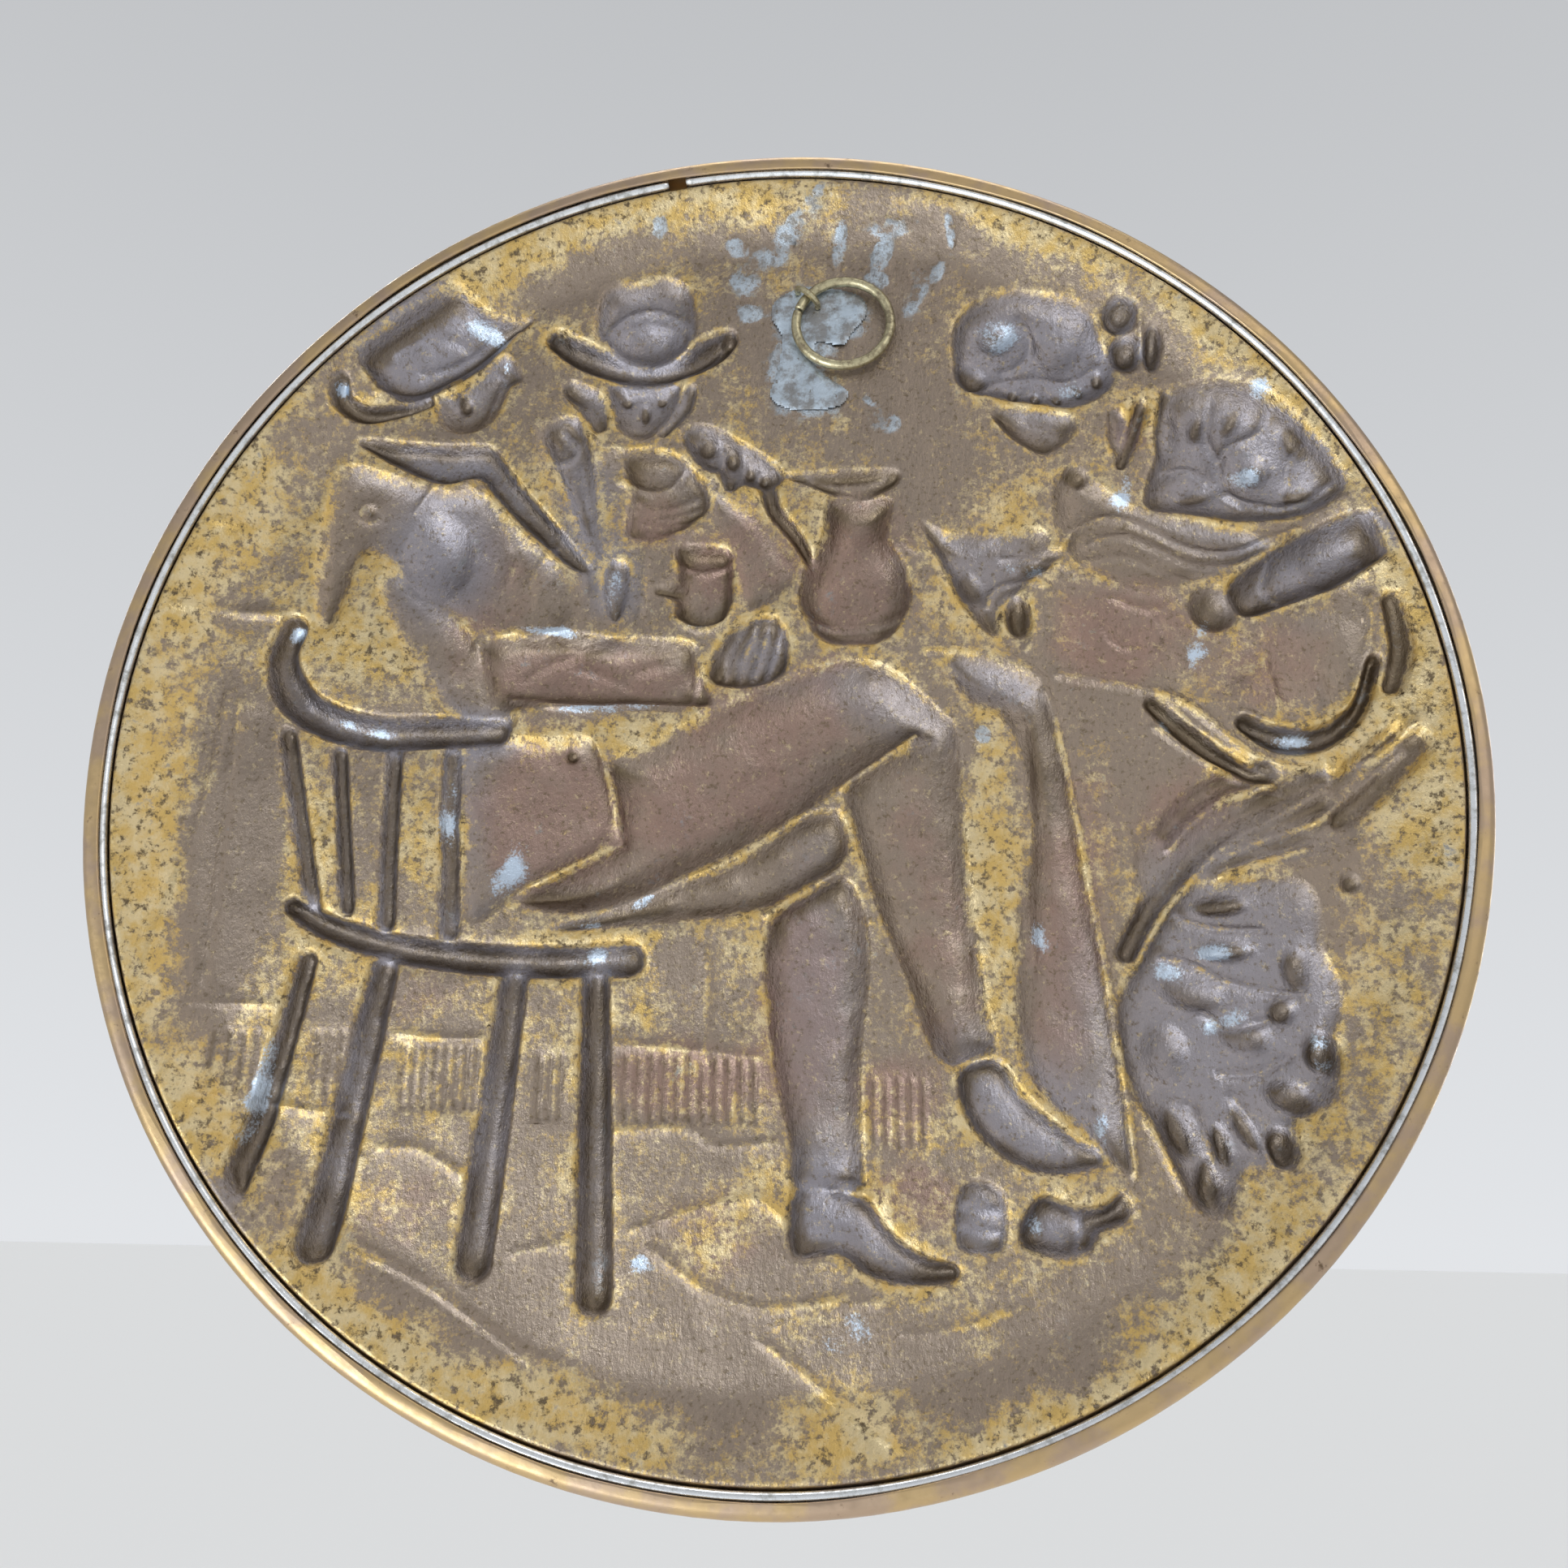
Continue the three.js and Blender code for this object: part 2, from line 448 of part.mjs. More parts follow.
// A triangle of the relief, with the place inside it where it misses the relief by most.
function makeTriangle(corners, ids, places) {
  const [a, b, c] = ids.map((id) => corners[id]);
  const twice = (b[0] - a[0]) * (c[1] - a[1]) - (c[0] - a[0]) * (b[1] - a[1]);
  const held = [];
  let worst = -1;
  let error = 0;
  for (const place of places) {
    const [u, v, depth] = place;
    const wb = ((u - a[0]) * (c[1] - a[1]) - (c[0] - a[0]) * (v - a[1])) / twice;
    const wc = ((b[0] - a[0]) * (v - a[1]) - (u - a[0]) * (b[1] - a[1])) / twice;
    if (wb < 0 || wc < 0 || wb + wc > 1) continue;
    held.push(place);
    const miss = Math.abs(a[2] + wb * (b[2] - a[2]) + wc * (c[2] - a[2]) - depth);
    if (miss > error) [error, worst] = [miss, place];
  }
  return { ids, circle: circleThrough(a, b, c), held, worst, error };
}

// Starts from a fan around the centre and adds, one by one, the place that is missed by most,
// keeping every triangle's circle empty (Delaunay).
function triangulateRelief() {
  const corners = [[0.05, 0.03, sheetDepth(0.05, 0.03)]];
  for (let i = 0; i < SEGMENTS; i++) {
    const angle = (2 * Math.PI * i) / SEGMENTS;
    corners.push([DISH_RADIUS * Math.cos(angle), DISH_RADIUS * Math.sin(angle), DISH_EDGE_DEPTH]);
  }
  const places = samplePlaces();
  let triangles = [];
  for (let i = 0; i < SEGMENTS; i++) {
    triangles.push(makeTriangle(corners, [0, i + 1, ((i + 1) % SEGMENTS) + 1], places));
  }
  while (corners.length < RELIEF_POINTS) {
    let target = triangles[0];
    for (const triangle of triangles) if (triangle.error > target.error) target = triangle;
    const [u, v] = target.worst;
    const covers = ({ circle }) => (u - circle.u) ** 2 + (v - circle.v) ** 2 < circle.squared;
    const broken = triangles.filter(covers);
    const freed = broken.flatMap((triangle) => triangle.held);
    const edges = new Map();
    for (const { ids } of broken) {
      for (let k = 0; k < 3; k++) {
        const [from, to] = [ids[k], ids[(k + 1) % 3]];
        if (!edges.delete(`${to},${from}`)) edges.set(`${from},${to}`, [from, to]);
      }
    }
    corners.push(target.worst);
    triangles = triangles.filter((triangle) => !covers(triangle));
    for (const [from, to] of edges.values()) {
      triangles.push(makeTriangle(corners, [from, to, corners.length - 1], freed));
    }
  }
  return { corners, faces: triangles.map((triangle) => triangle.ids) };
}

// ---------------------------------------------------------------- from back coordinates to the part
const toPart = (u, v, depth) => [LUG_U - u, FIELD_DEPTH - depth, v - LUG_V];

function meshFrom(name, points, faces, material) {
  const geometry = new THREE.BufferGeometry();
  geometry.setAttribute('position', new THREE.Float32BufferAttribute(points.flat(), 3));
  geometry.setIndex(faces.flat());
  geometry.computeVertexNormals();
  const mesh = new THREE.Mesh(geometry, material);
  mesh.name = name;
  return mesh;
}

// The hem's section as [radius, depth], from the dish's edge on the back, around the roll and its
// lip, and back to the dish's edge on the front.
function hemSection() {
  const inner = HEM_OUTER - SHEET;
  const arc = (radius, from, to, steps) => Array.from({ length: steps + 1 }, (_, i) => {
    const angle = radians(from + ((to - from) * i) / steps);
    return [HEM_CENTRE + radius * Math.cos(angle), HEM_OUTER - radius * Math.sin(angle)];
  });
  return [
    ...HEM_SEAT, ...arc(inner, -90, 90, 3),
    [HEM_LIP, SHEET], [HEM_LIP, 0],
    ...arc(HEM_OUTER, 90, -90, 4), ...HEM_CREASE,
  ];
}

function brassSheet() {
  const { corners, faces } = triangulateRelief();
  const count = corners.length;
  const points = corners.map(([u, v, depth]) => toPart(u, v, depth));
  for (const [u, v, depth] of corners) points.push(toPart(u, v, depth + SHEET));
  // the back faces +Y: counter-clockwise in (u, v) is already counter-clockwise seen from behind
  const all = [...faces, ...faces.map(([a, b, c]) => [c + count, b + count, a + count])];
  const rings = [Array.from({ length: SEGMENTS }, (_, i) => i + 1)];
  for (const [radius, depth] of hemSection()) {
    rings.push(Array.from({ length: SEGMENTS }, (_, i) => {
      const angle = (2 * Math.PI * i) / SEGMENTS;
      points.push(toPart(radius * Math.cos(angle), radius * Math.sin(angle), depth));
      return points.length - 1;
    }));
  }
  rings.push(Array.from({ length: SEGMENTS }, (_, i) => count + i + 1));
  for (let ring = 0; ring < rings.length - 1; ring++) {
    for (let i = 0; i < SEGMENTS; i++) {
      const j = (i + 1) % SEGMENTS;
      const [a, b, c, d] = [rings[ring][i], rings[ring + 1][i], rings[ring + 1][j], rings[ring][j]];
      all.push([a, b, c], [a, c, d]);
    }
  }
  return meshFrom('embossed_brass_sheet', points, all, brass);
}

// A round bar along a path of points, closed by a flat face at each end.
function bar(name, path, radius, sides, material) {
  const section = new THREE.Shape(Array.from({ length: sides }, (_, i) => {
    const angle = (2 * Math.PI * (i + 0.5)) / sides;
    return new THREE.Vector2(radius * Math.cos(angle), radius * Math.sin(angle));
  }));
  const options = { steps: path.steps, bevelEnabled: false, extrudePath: path.curve };
  const mesh = new THREE.Mesh(new THREE.ExtrudeGeometry(section, options), material);
  mesh.name = name;
  return mesh;
}

// An arc in back coordinates at one depth, from one angle to another in degrees.
class FlatArc extends THREE.Curve {
  constructor(centre, radius, depth, from, to) {
    super();
    Object.assign(this, { centre, radius, depth, from, to });
  }

  getPoint(t, target = new THREE.Vector3()) {
    const angle = radians(this.from + (this.to - this.from) * t);
    const u = this.centre[0] + this.radius * Math.cos(angle);
    const v = this.centre[1] + this.radius * Math.sin(angle);
    return target.set(...toPart(u, v, this.depth));
  }
}

function rimWire() {
  const half = THREE.MathUtils.radToDeg(WIRE_GAP / 2 / WIRE_CIRCLE);
  const curve = new FlatArc([0, 0], WIRE_CIRCLE, WIRE_DEPTH, WIRE_GAP_ANGLE + half,
    WIRE_GAP_ANGLE + 360 - half);
  return bar('rim_wire', { curve, steps: SEGMENTS }, WIRE_RADIUS, 6, brightWire);
}

const RING_DEPTH = FIELD_DEPTH - SOLDER_HEIGHT - 2 * CLEARANCE - RING_WIRE;
const ringCentre = [
  LUG_U + RING_CIRCLE * Math.cos(radians(RING_DIRECTION)),
  LUG_V + RING_CIRCLE * Math.sin(radians(RING_DIRECTION)),
];

// The ring lies on the solder; its split is just past the lug.
function hangingRing() {
  const split = RING_DIRECTION - 180 + 22;
  const curve = new FlatArc(ringCentre, RING_CIRCLE, RING_DEPTH, split + 2, split + 358);
  return bar('hanging_ring', { curve, steps: 36 }, RING_WIRE, 6, dullBrass);
}

// The lug: a bent wire whose loop stands on the solder across the ring's wire.
function lug() {
  const out = radians(RING_DIRECTION);
  const reachOut = LUG_ARCH + RING_WIRE;
  const foot = FIELD_DEPTH - SOLDER_HEIGHT - 2 * CLEARANCE;
  const top = RING_DEPTH - RING_WIRE - CLEARANCE - LUG_WIRE;
  const place = (along, depth) => new THREE.Vector3(
    ...toPart(LUG_U + along * Math.cos(out), LUG_V + along * Math.sin(out), depth));
  const curve = new THREE.CatmullRomCurve3([
    place(-reachOut, foot), place(-reachOut, (foot + top) / 2), place(-reachOut * 0.45, top + 0.25),
    place(0, top), place(reachOut * 0.45, top + 0.25), place(reachOut, (foot + top) / 2),
    place(reachOut, foot),
  ]);
  return bar('ring_lug', { curve, steps: 12 }, LUG_WIRE, 6, dullBrass);
}

// Solder run over the field around the lug: a low patch with a rounded edge.
function solderPatch() {
  const outline = smoothPath([[-3, 106], [1, 102], [9, 101], [17, 102.5], [19, 107], [14, 111], [10, 115],
    [10, 122], [17, 121], [20, 125], [24, 131], [22, 137], [12, 140], [5, 140], [-2, 136], [-3, 130], [0, 124],
    [-1, 114]], true, 3);
  const middle = outline.reduce(([su, sv], [u, v]) => [su + u, sv + v], [0, 0])
    .map((sum) => sum / outline.length);
  const shape = new THREE.Shape(outline.map(([u, v]) => new THREE.Vector2(u - middle[0], v - middle[1])));
  const mesh = new THREE.Mesh(new THREE.ExtrudeGeometry(shape, {
    depth: SOLDER_HEIGHT, bevelEnabled: false,
  }), solder);
  // the outline's own z grows toward the back, +Y
  mesh.matrixAutoUpdate = false;
  mesh.matrix.makeBasis(new THREE.Vector3(-1, 0, 0), new THREE.Vector3(0, 0, 1), new THREE.Vector3(0, 1, 0));
  mesh.matrix.setPosition(...toPart(middle[0], middle[1], FIELD_DEPTH - CLEARANCE));
  mesh.name = 'solder_patch';
  return mesh;
}

const plaque = new THREE.Group();
plaque.name = 'embossed_brass_plaque';
plaque.add(brassSheet(), rimWire(), hangingRing(), lug(), solderPatch());

export default plaque;
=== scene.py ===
import math

import bpy
import numpy as np
from mathutils import Matrix, Vector


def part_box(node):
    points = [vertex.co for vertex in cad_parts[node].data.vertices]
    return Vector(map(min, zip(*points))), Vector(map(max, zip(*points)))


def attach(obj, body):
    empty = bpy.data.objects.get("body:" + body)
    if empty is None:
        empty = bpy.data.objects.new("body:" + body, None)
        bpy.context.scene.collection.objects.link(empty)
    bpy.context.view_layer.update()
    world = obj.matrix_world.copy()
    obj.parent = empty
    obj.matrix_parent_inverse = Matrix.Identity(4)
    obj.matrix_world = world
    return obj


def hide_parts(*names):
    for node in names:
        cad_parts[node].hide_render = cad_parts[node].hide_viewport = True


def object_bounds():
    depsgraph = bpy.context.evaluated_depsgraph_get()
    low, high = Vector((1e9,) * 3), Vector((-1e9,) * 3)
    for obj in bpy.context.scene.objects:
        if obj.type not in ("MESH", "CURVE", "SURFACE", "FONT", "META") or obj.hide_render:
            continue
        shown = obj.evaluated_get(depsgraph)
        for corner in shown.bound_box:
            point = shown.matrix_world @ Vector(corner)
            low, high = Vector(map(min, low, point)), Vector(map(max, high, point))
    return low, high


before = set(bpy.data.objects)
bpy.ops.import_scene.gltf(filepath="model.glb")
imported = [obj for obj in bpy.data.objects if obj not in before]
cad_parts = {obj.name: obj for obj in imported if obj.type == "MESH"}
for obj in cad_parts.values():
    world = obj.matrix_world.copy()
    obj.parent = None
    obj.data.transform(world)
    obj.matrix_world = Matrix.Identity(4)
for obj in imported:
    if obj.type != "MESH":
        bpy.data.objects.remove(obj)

CAD_BOX = [list(corner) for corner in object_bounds()]
SHEET_LOW, SHEET_HIGH = (Vector(corner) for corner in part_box("embossed_brass_sheet"))
CENTRE = (SHEET_LOW + SHEET_HIGH) / 2
RADIUS = (SHEET_HIGH.x - SHEET_LOW.x) / 2
MM = 0.001

# ---- sizes shared with the CAD model, mm
SHEET = 0.8
FIELD_RADIUS = 150
DISH_RADIUS = 169
DISH_EDGE_DEPTH = 2
FIELD_DEPTH = SHEET_HIGH.y / MM       # the field's back lies in the plane y = 0
CREASE_ROUNDING = 0.7
HEM_START = 170.3                     # where the hem's finish takes over
HEM_OUTER = 2.5
HEM_CENTRE = RADIUS / MM - HEM_OUTER
HEM_LIP = 172.9
LUG_U = CENTRE.x / MM
LUG_V = -CENTRE.z / MM
WIRE_RADIUS = 1.4
WIRE_CIRCLE = 172.6
WIRE_DEPTH = 2.5
WIRE_GAP_ANGLE = 100
WIRE_GAP = 5
RING_CIRCLE = 13.1
RING_WIRE = 1.35
RING_DIRECTION = math.radians(320)    # from the lug to the ring's centre
RING_SPLIT = RING_DIRECTION - math.pi + math.radians(22)
HALF_SPLIT = math.radians(2)
SOLDER_HEIGHT = 0.7
CLEARANCE = 0.3
RING_DEPTH = FIELD_DEPTH - SOLDER_HEIGHT - 2 * CLEARANCE - RING_WIRE
RING_CENTRE = (LUG_U + RING_CIRCLE * math.cos(RING_DIRECTION),
               LUG_V + RING_CIRCLE * math.sin(RING_DIRECTION))

# ---- how finely the pieces are meshed
SHEET_CELLS = 460
SHEET_TRIANGLES = 194000
WIRE_STEPS, WIRE_SIDES = 700, 16
RING_STEPS, RING_SIDES = 160, 20
SOLDER_STEP = 0.5

# ---- the relief as a height map
STEP = 0.45
GRID_REACH = 174
HALF_CELLS = int(GRID_REACH / STEP)
AXIS = np.arange(-HALF_CELLS, HALF_CELLS + 1) * STEP
GRID_U, GRID_V = np.meshgrid(AXIS, AXIS)
GRID_R = np.hypot(GRID_U, GRID_V)
pressed = np.zeros_like(GRID_U)       # depth of the hollows
ridges = np.zeros_like(GRID_U)        # height of what stands toward the back
LIP = 0.25                            # the sheet rises a little round each hollow,
LIP_WIDTH = 1.1                       # within about this far of its edge
MARGIN = 3


def smooth_path(points, closed=False, steps=4):
    """A Catmull-Rom curve through points [u, v, ...], carrying every value."""
    points = np.array(points, float)
    count = len(points)
    if count < 3:
        return points
    index = np.arange(count if closed else count - 1)

    def at(offset):
        return points[(index + offset) % count if closed else np.clip(index + offset, 0, count - 1)]

    p0, p1, p2, p3 = at(-1), at(0), at(1), at(2)
    path = []
    for step in range(steps):
        t = step / steps
        path.append(p1 + 0.5 * t * (p2 - p0 + t * (2 * p0 - 5 * p1 + 4 * p2 - p3
                                                   + t * (3 * (p1 - p2) + p3 - p0))))
    path = np.stack(path, 1).reshape(-1, points.shape[1])
    return path if closed else np.vstack([path, points[-1]])


def window(path, margin):
    """The slice of the grid that holds a path with a margin."""
    low = np.floor((path[:, :2].min(0) - margin) / STEP).astype(int) + HALF_CELLS
    high = np.ceil((path[:, :2].max(0) + margin) / STEP).astype(int) + HALF_CELLS + 1
    low = np.clip(low, 0, 2 * HALF_CELLS)
    high = np.clip(high, 1, 2 * HALF_CELLS + 1)
    return slice(low[1], high[1]), slice(low[0], high[0])


def nearest(path, u, v, closed=False):
    """Distance to a path and its width at the nearest place, the widest reach winning."""
    best = np.full(u.shape, 1e9)
    distance = np.full(u.shape, 1e9)
    width = np.ones(u.shape)
    ends = np.roll(path, -1, 0) if closed else path[1:]
    for a, b in zip(path, ends):
        du, dv = b[0] - a[0], b[1] - a[1]
        t = np.clip(((u - a[0]) * du + (v - a[1]) * dv) / (du * du + dv * dv), 0, 1)
        away = np.hypot(u - a[0] - t * du, v - a[1] - t * dv)
        wide = a[2] + t * (b[2] - a[2]) if len(a) > 2 else 1.0
        nearer = away / wide < best
        best = np.where(nearer, away / wide, best)
        distance = np.where(nearer, away, distance)
        width = np.where(nearer, wide, width)
    return distance, width


def inside(outline, u, v):
    """Whether each place lies within a closed outline."""
    odd = np.zeros(u.shape, bool)
    for a, b in zip(outline, np.roll(outline, -1, 0)):
        if a[1] == b[1]:
            continue
        crosses = (a[1] > v) != (b[1] > v)
        odd ^= crosses & (u < (b[0] - a[0]) * (v - a[1]) / (b[1] - a[1]) + a[0])
    return odd


def deeper(a, b):
    """The larger of two hollows, with their common edge rounded."""
    rounding = np.minimum(CREASE_ROUNDING, np.minimum(a, b))
    overlap = np.maximum(rounding - np.abs(a - b), 0)
    return np.maximum(a, b) + overlap ** 2 / (4 * np.maximum(rounding, 1e-6))


def press(place, depth, beyond, lip=LIP):
    """Adds a hollow, and the lip that the sheet raises `beyond` its edge."""
    pressed[place] = deeper(pressed[place], depth)
    raised = lip * np.exp(-(np.maximum(beyond, 0) / LIP_WIDTH) ** 2) * (beyond > 0)
    ridges[place] = np.maximum(ridges[place], raised)


def limb(depth, points, lip=LIP):
    """A rounded trough along a path of [u, v, half-width]."""
    path = smooth_path(points)
    place = window(path, path[:, 2].max() + MARGIN)
    distance, width = nearest(path, GRID_U[place], GRID_V[place])
    q = np.minimum(distance / width, 1)
    press(place, depth * (1 - q * q) ** 0.8, distance - width, lip)


def area(depth, edge, points, lip=LIP):
    """A hollow in a closed outline: its wall slopes over `edge`, then the floor swells gently."""
    outline = smooth_path(points, closed=True, steps=3)
    place = window(outline, MARGIN)
    u, v = GRID_U[place], GRID_V[place]
    distance, _ = nearest(outline, u, v, closed=True)
    within = inside(outline, u, v)
    wall = np.minimum(distance / edge, 1)
    swell = 1 - np.exp(-distance / (2 * edge))
    depth = depth * (0.7 * wall * (2 - wall) + 0.3 * swell) * within
    press(place, depth, np.where(within, -1, distance), lip)


def oval(u0, v0, a, b, turn, place=...):
    """How far places are from an oval's centre, as a part of the way to its edge: centre,
    half-axes and the turn of the first axis in degrees."""
    c, s = math.cos(math.radians(turn)), math.sin(math.radians(turn))
    du, dv = GRID_U[place] - u0, GRID_V[place] - v0
    return np.hypot((du * c + dv * s) / a, (dv * c - du * s) / b)


def bowl(depth, u0, v0, a, b, turn=0):
    """A rounded oval hollow without a lip."""
    place = window(np.array([[u0, v0]]), max(a, b) + MARGIN)
    q = np.minimum(oval(u0, v0, a, b, turn, place), 1)
    pressed[place] = deeper(pressed[place], depth * (1 - q ** 2) ** 0.85)


def ridge(height, width, points):
    """A narrow ridge toward the back, or with a negative height a groove."""
    path = smooth_path([point[:2] for point in points])
    place = window(path, width)
    distance, _ = nearest(path, GRID_U[place], GRID_V[place])
    ridges[place] += height * (1 - np.minimum(distance / width, 1) ** 2) ** 2


def ring_mark(u, v, radius):
    """A small raised ring."""
    turns = np.linspace(0, 2 * math.pi, 9)
    ridge(0.7, 1.1, [[u + radius * math.cos(t), v + radius * math.sin(t)] for t in turns])


# ---- the embossed scene
def seated_figure():
    # hat with a turned-up tail behind, its curled brim, and the head below it in profile
    area(6.5, 6, [[-119, 118], [-116, 126], [-110, 133], [-103, 139], [-97, 141], [-91, 140], [-84, 134],
        [-77, 131.5], [-70, 131.5], [-76, 125], [-83, 117], [-92, 111], [-105, 105.5], [-113, 110]])
    ridge(1.1, 1.5, [[-113, 108], [-104, 109.5], [-95, 112], [-88, 117], [-81, 123], [-75, 128]])
    ridge(0.9, 1.6, [[-109, 121], [-101, 126], [-95, 127], [-90, 125]])
    ridge(0.8, 1.6, [[-102, 117], [-95, 119], [-88, 123], [-83, 128]])
    limb(4.2, [[-122.5, 111, 2], [-122, 105, 2.9], [-116, 102, 2.8], [-107, 103.5, 2.4], [-99, 106.5, 2]])
    area(4.5, 6, [[-98, 107], [-90, 111], [-84, 117], [-78, 121], [-74, 117], [-72, 112.5], [-75.5, 110],
        [-77, 105], [-80, 99.5], [-86, 96], [-94, 98]])
    bowl(5.6, -89, 106, 3, 4, 20)
    ridge(0.9, 1.3, [[-79, 112], [-80.5, 106], [-82.5, 100]])
    ridge(0.7, 1.2, [[-85, 114], [-81, 115.5], [-78, 114]])
    # collar and lapel, crisp at the lower edge
    area(4.8, 3, [[-118, 94], [-104, 93.5], [-90, 92.5], [-80, 92], [-74, 85], [-66, 75], [-56, 64],
        [-50, 55], [-56, 55], [-68, 66], [-78, 76], [-83, 82], [-92, 80], [-106, 86]])
    # jacket back, shoulder, upper arm down to the elbow, forearm and cuff
    area(3.2, 6, [[-119, 87], [-105, 83], [-92, 78], [-80, 78], [-70, 66], [-58, 56], [-55, 40], [-66, 36],
        [-80, 38], [-100, 50], [-112, 60], [-118, 40], [-124, 40], [-126, 62], [-124, 78]])
    bowl(6.5, -92.5, 60, 12.5, 15.8, 12)
    limb(2.6, [[-102, 50, 6], [-92, 36, 9], [-80, 20, 8], [-72, 12, 5]], lip=0)
    area(5.6, 6, [[-78, 33], [-62, 37], [-40, 35], [-22, 34], [-19, 26], [-16, 16], [-30, 14], [-60, 16],
        [-76, 14]])
    ridge(1.4, 1.6, [[-70, 19], [-60, 17], [-50, 16], [-36, 17], [-18, 15.5]])
    ridge(1, 1.5, [[-70, 37.5], [-64, 34.5], [-58, 36], [-52, 33.5], [-42, 35]])
    ridge(0.9, 1.3, [[-22, 34], [-20.5, 26], [-21, 17]])
    for u, v, turn in [[-60, 28, 8], [-46, 25, -6], [-33, 27, 5]]:
        ridge(0.6, 2, [[u - 6, v - 0.4 * turn], [u, v + 1], [u + 7, v + 0.4 * turn]])
    # creases of the jacket, a round boss and two small rings on it
    ridge(1, 1.5, [[-100, 74], [-94, 79.5], [-86, 81], [-82, 77]])
    ridge(0.8, 1.5, [[-79, 74], [-74, 66], [-71, 58], [-74, 50]])
    ridge(0.7, 1.6, [[-60, 62], [-66, 53], [-66, 45]])
    ridge(0.7, 1.5, [[-84, 40], [-78, 30], [-76, 18]])
    bowl(3.8, -113, 73.5, 1.6, 1.6)
    ring_mark(-113, 73.5, 3)
    ring_mark(-79, 32, 1.3)
    bowl(4.4, -52.5, 2.5, 2.4, 2.4)
    # hand resting on the knee
    area(5.5, 4, [[-18, 24], [-14, 34], [-8, 40], [0, 41], [4, 34], [3, 25], [-5, 21], [-13, 21]])
    for finger in range(4):
        ridge(1, 1.2, [[-13 + 3.6 * finger, 24], [-12 + 4 * finger, 31], [-7.5 + 3 * finger, 39]])
    # coat skirt hanging over the chair's seat
    area(2.6, 5, [[-82, 8], [-62, 7], [-46, 7], [-42, -4], [-39, -20], [-50, -27], [-62, -33], [-76, -42],
        [-80, -20]])
    ridge(1.6, 1.5, [[-46, 6], [-42.5, -3], [-40, -12], [-38, -21]])
    ridge(1.2, 1.4, [[-38, -21], [-48, -26], [-59, -32]])
    # thigh and knee of the crossed leg, then the far thigh below it
    area(8, 11, [[-66, -36], [-45, -24], [-40, -10], [-43, 0], [-34, 5], [-20, 12], [-8, 18], [6, 24],
        [18, 28], [29, 27], [38, 20], [46, 11], [47, 4], [34, 3], [20, -5], [12, -11], [-4, -21],
        [-20, -30], [-44, -40]])
    area(5, 5, [[-56, -44], [-30, -33], [-8, -25], [6, -15], [17, -12], [20, -24], [8, -33], [-4, -39],
        [-28, -42]])
    # breeches hems, stockings and buckled shoes
    area(6, 7, [[19, -6], [30, 2], [44, 13], [48, 6], [49, -12], [51, -36], [54, -60], [56, -72], [46, -77],
        [40, -72], [35, -57], [28, -40], [22, -22]])
    ridge(1.6, 1.6, [[18, -6.5], [28, 1], [37, 9]])
    area(5.2, 4, [[47, -76], [57, -74], [62, -82], [70, -89], [80, -95], [80, -100], [68, -102], [56, -97],
        [48, -88]])
    ridge(1.3, 1.5, [[47, -77], [53, -74.5], [60, -77]])
    area(5.6, 6, [[0, -41], [18, -29], [25, -42], [25, -58], [23.5, -74], [24, -98], [24, -106], [17, -108],
        [7, -106], [6, -94], [3, -82], [0, -62]])
    ridge(1.8, 1.8, [[0, -39.5], [8, -35], [18, -28]])
    area(5.4, 4, [[8, -104], [24, -107], [30, -114], [38, -120], [46, -122], [46, -126], [37, -128],
        [26, -126], [18, -121], [7, -121]])
    ridge(1.2, 1.4, [[17, -106], [21, -104], [25, -107]])


def tub_chair():
    limb(5.2, [[-130, 38, 4], [-132.5, 30, 4.6], [-128, 19, 5.2], [-118, 12, 5], [-104, 8.5, 4.8],
        [-90, 8.8, 4.6], [-73, 9.5, 4.4]])
    limb(4.6, [[-122, -38, 2.6], [-113, -43, 3.6], [-99, -47.5, 3.8], [-84, -50, 4], [-60, -52, 4.2],
        [-35, -51, 4.6]])
    spindles = [[-128.5, 8, -117, -38, 2.6], [-114, 3, -108, -38, 2.2], [-99.5, 3, -97.5, -42, 2.5],
        [-84, 3, -81, -44, 3]]
    for u_top, v_top, u_foot, v_foot, width in spindles:
        limb(2.8, [[u_top, v_top, width], [u_foot, v_foot, width]])
    legs = [[-117, -52, -127.5, -109, 3.4], [-97, -54, -107, -121, 4.6], [-63.5, -56, -69, -124, 4.4],
        [-43, -56, -39.5, -131, 4.3]]
    for u_top, v_top, u_foot, v_foot, width in legs:
        limb(4.3, [[u_top, v_top, width * 0.85], [(u_top + u_foot) / 2, (v_top + v_foot) / 2, width],
            [u_foot, v_foot, width * 1.08]])


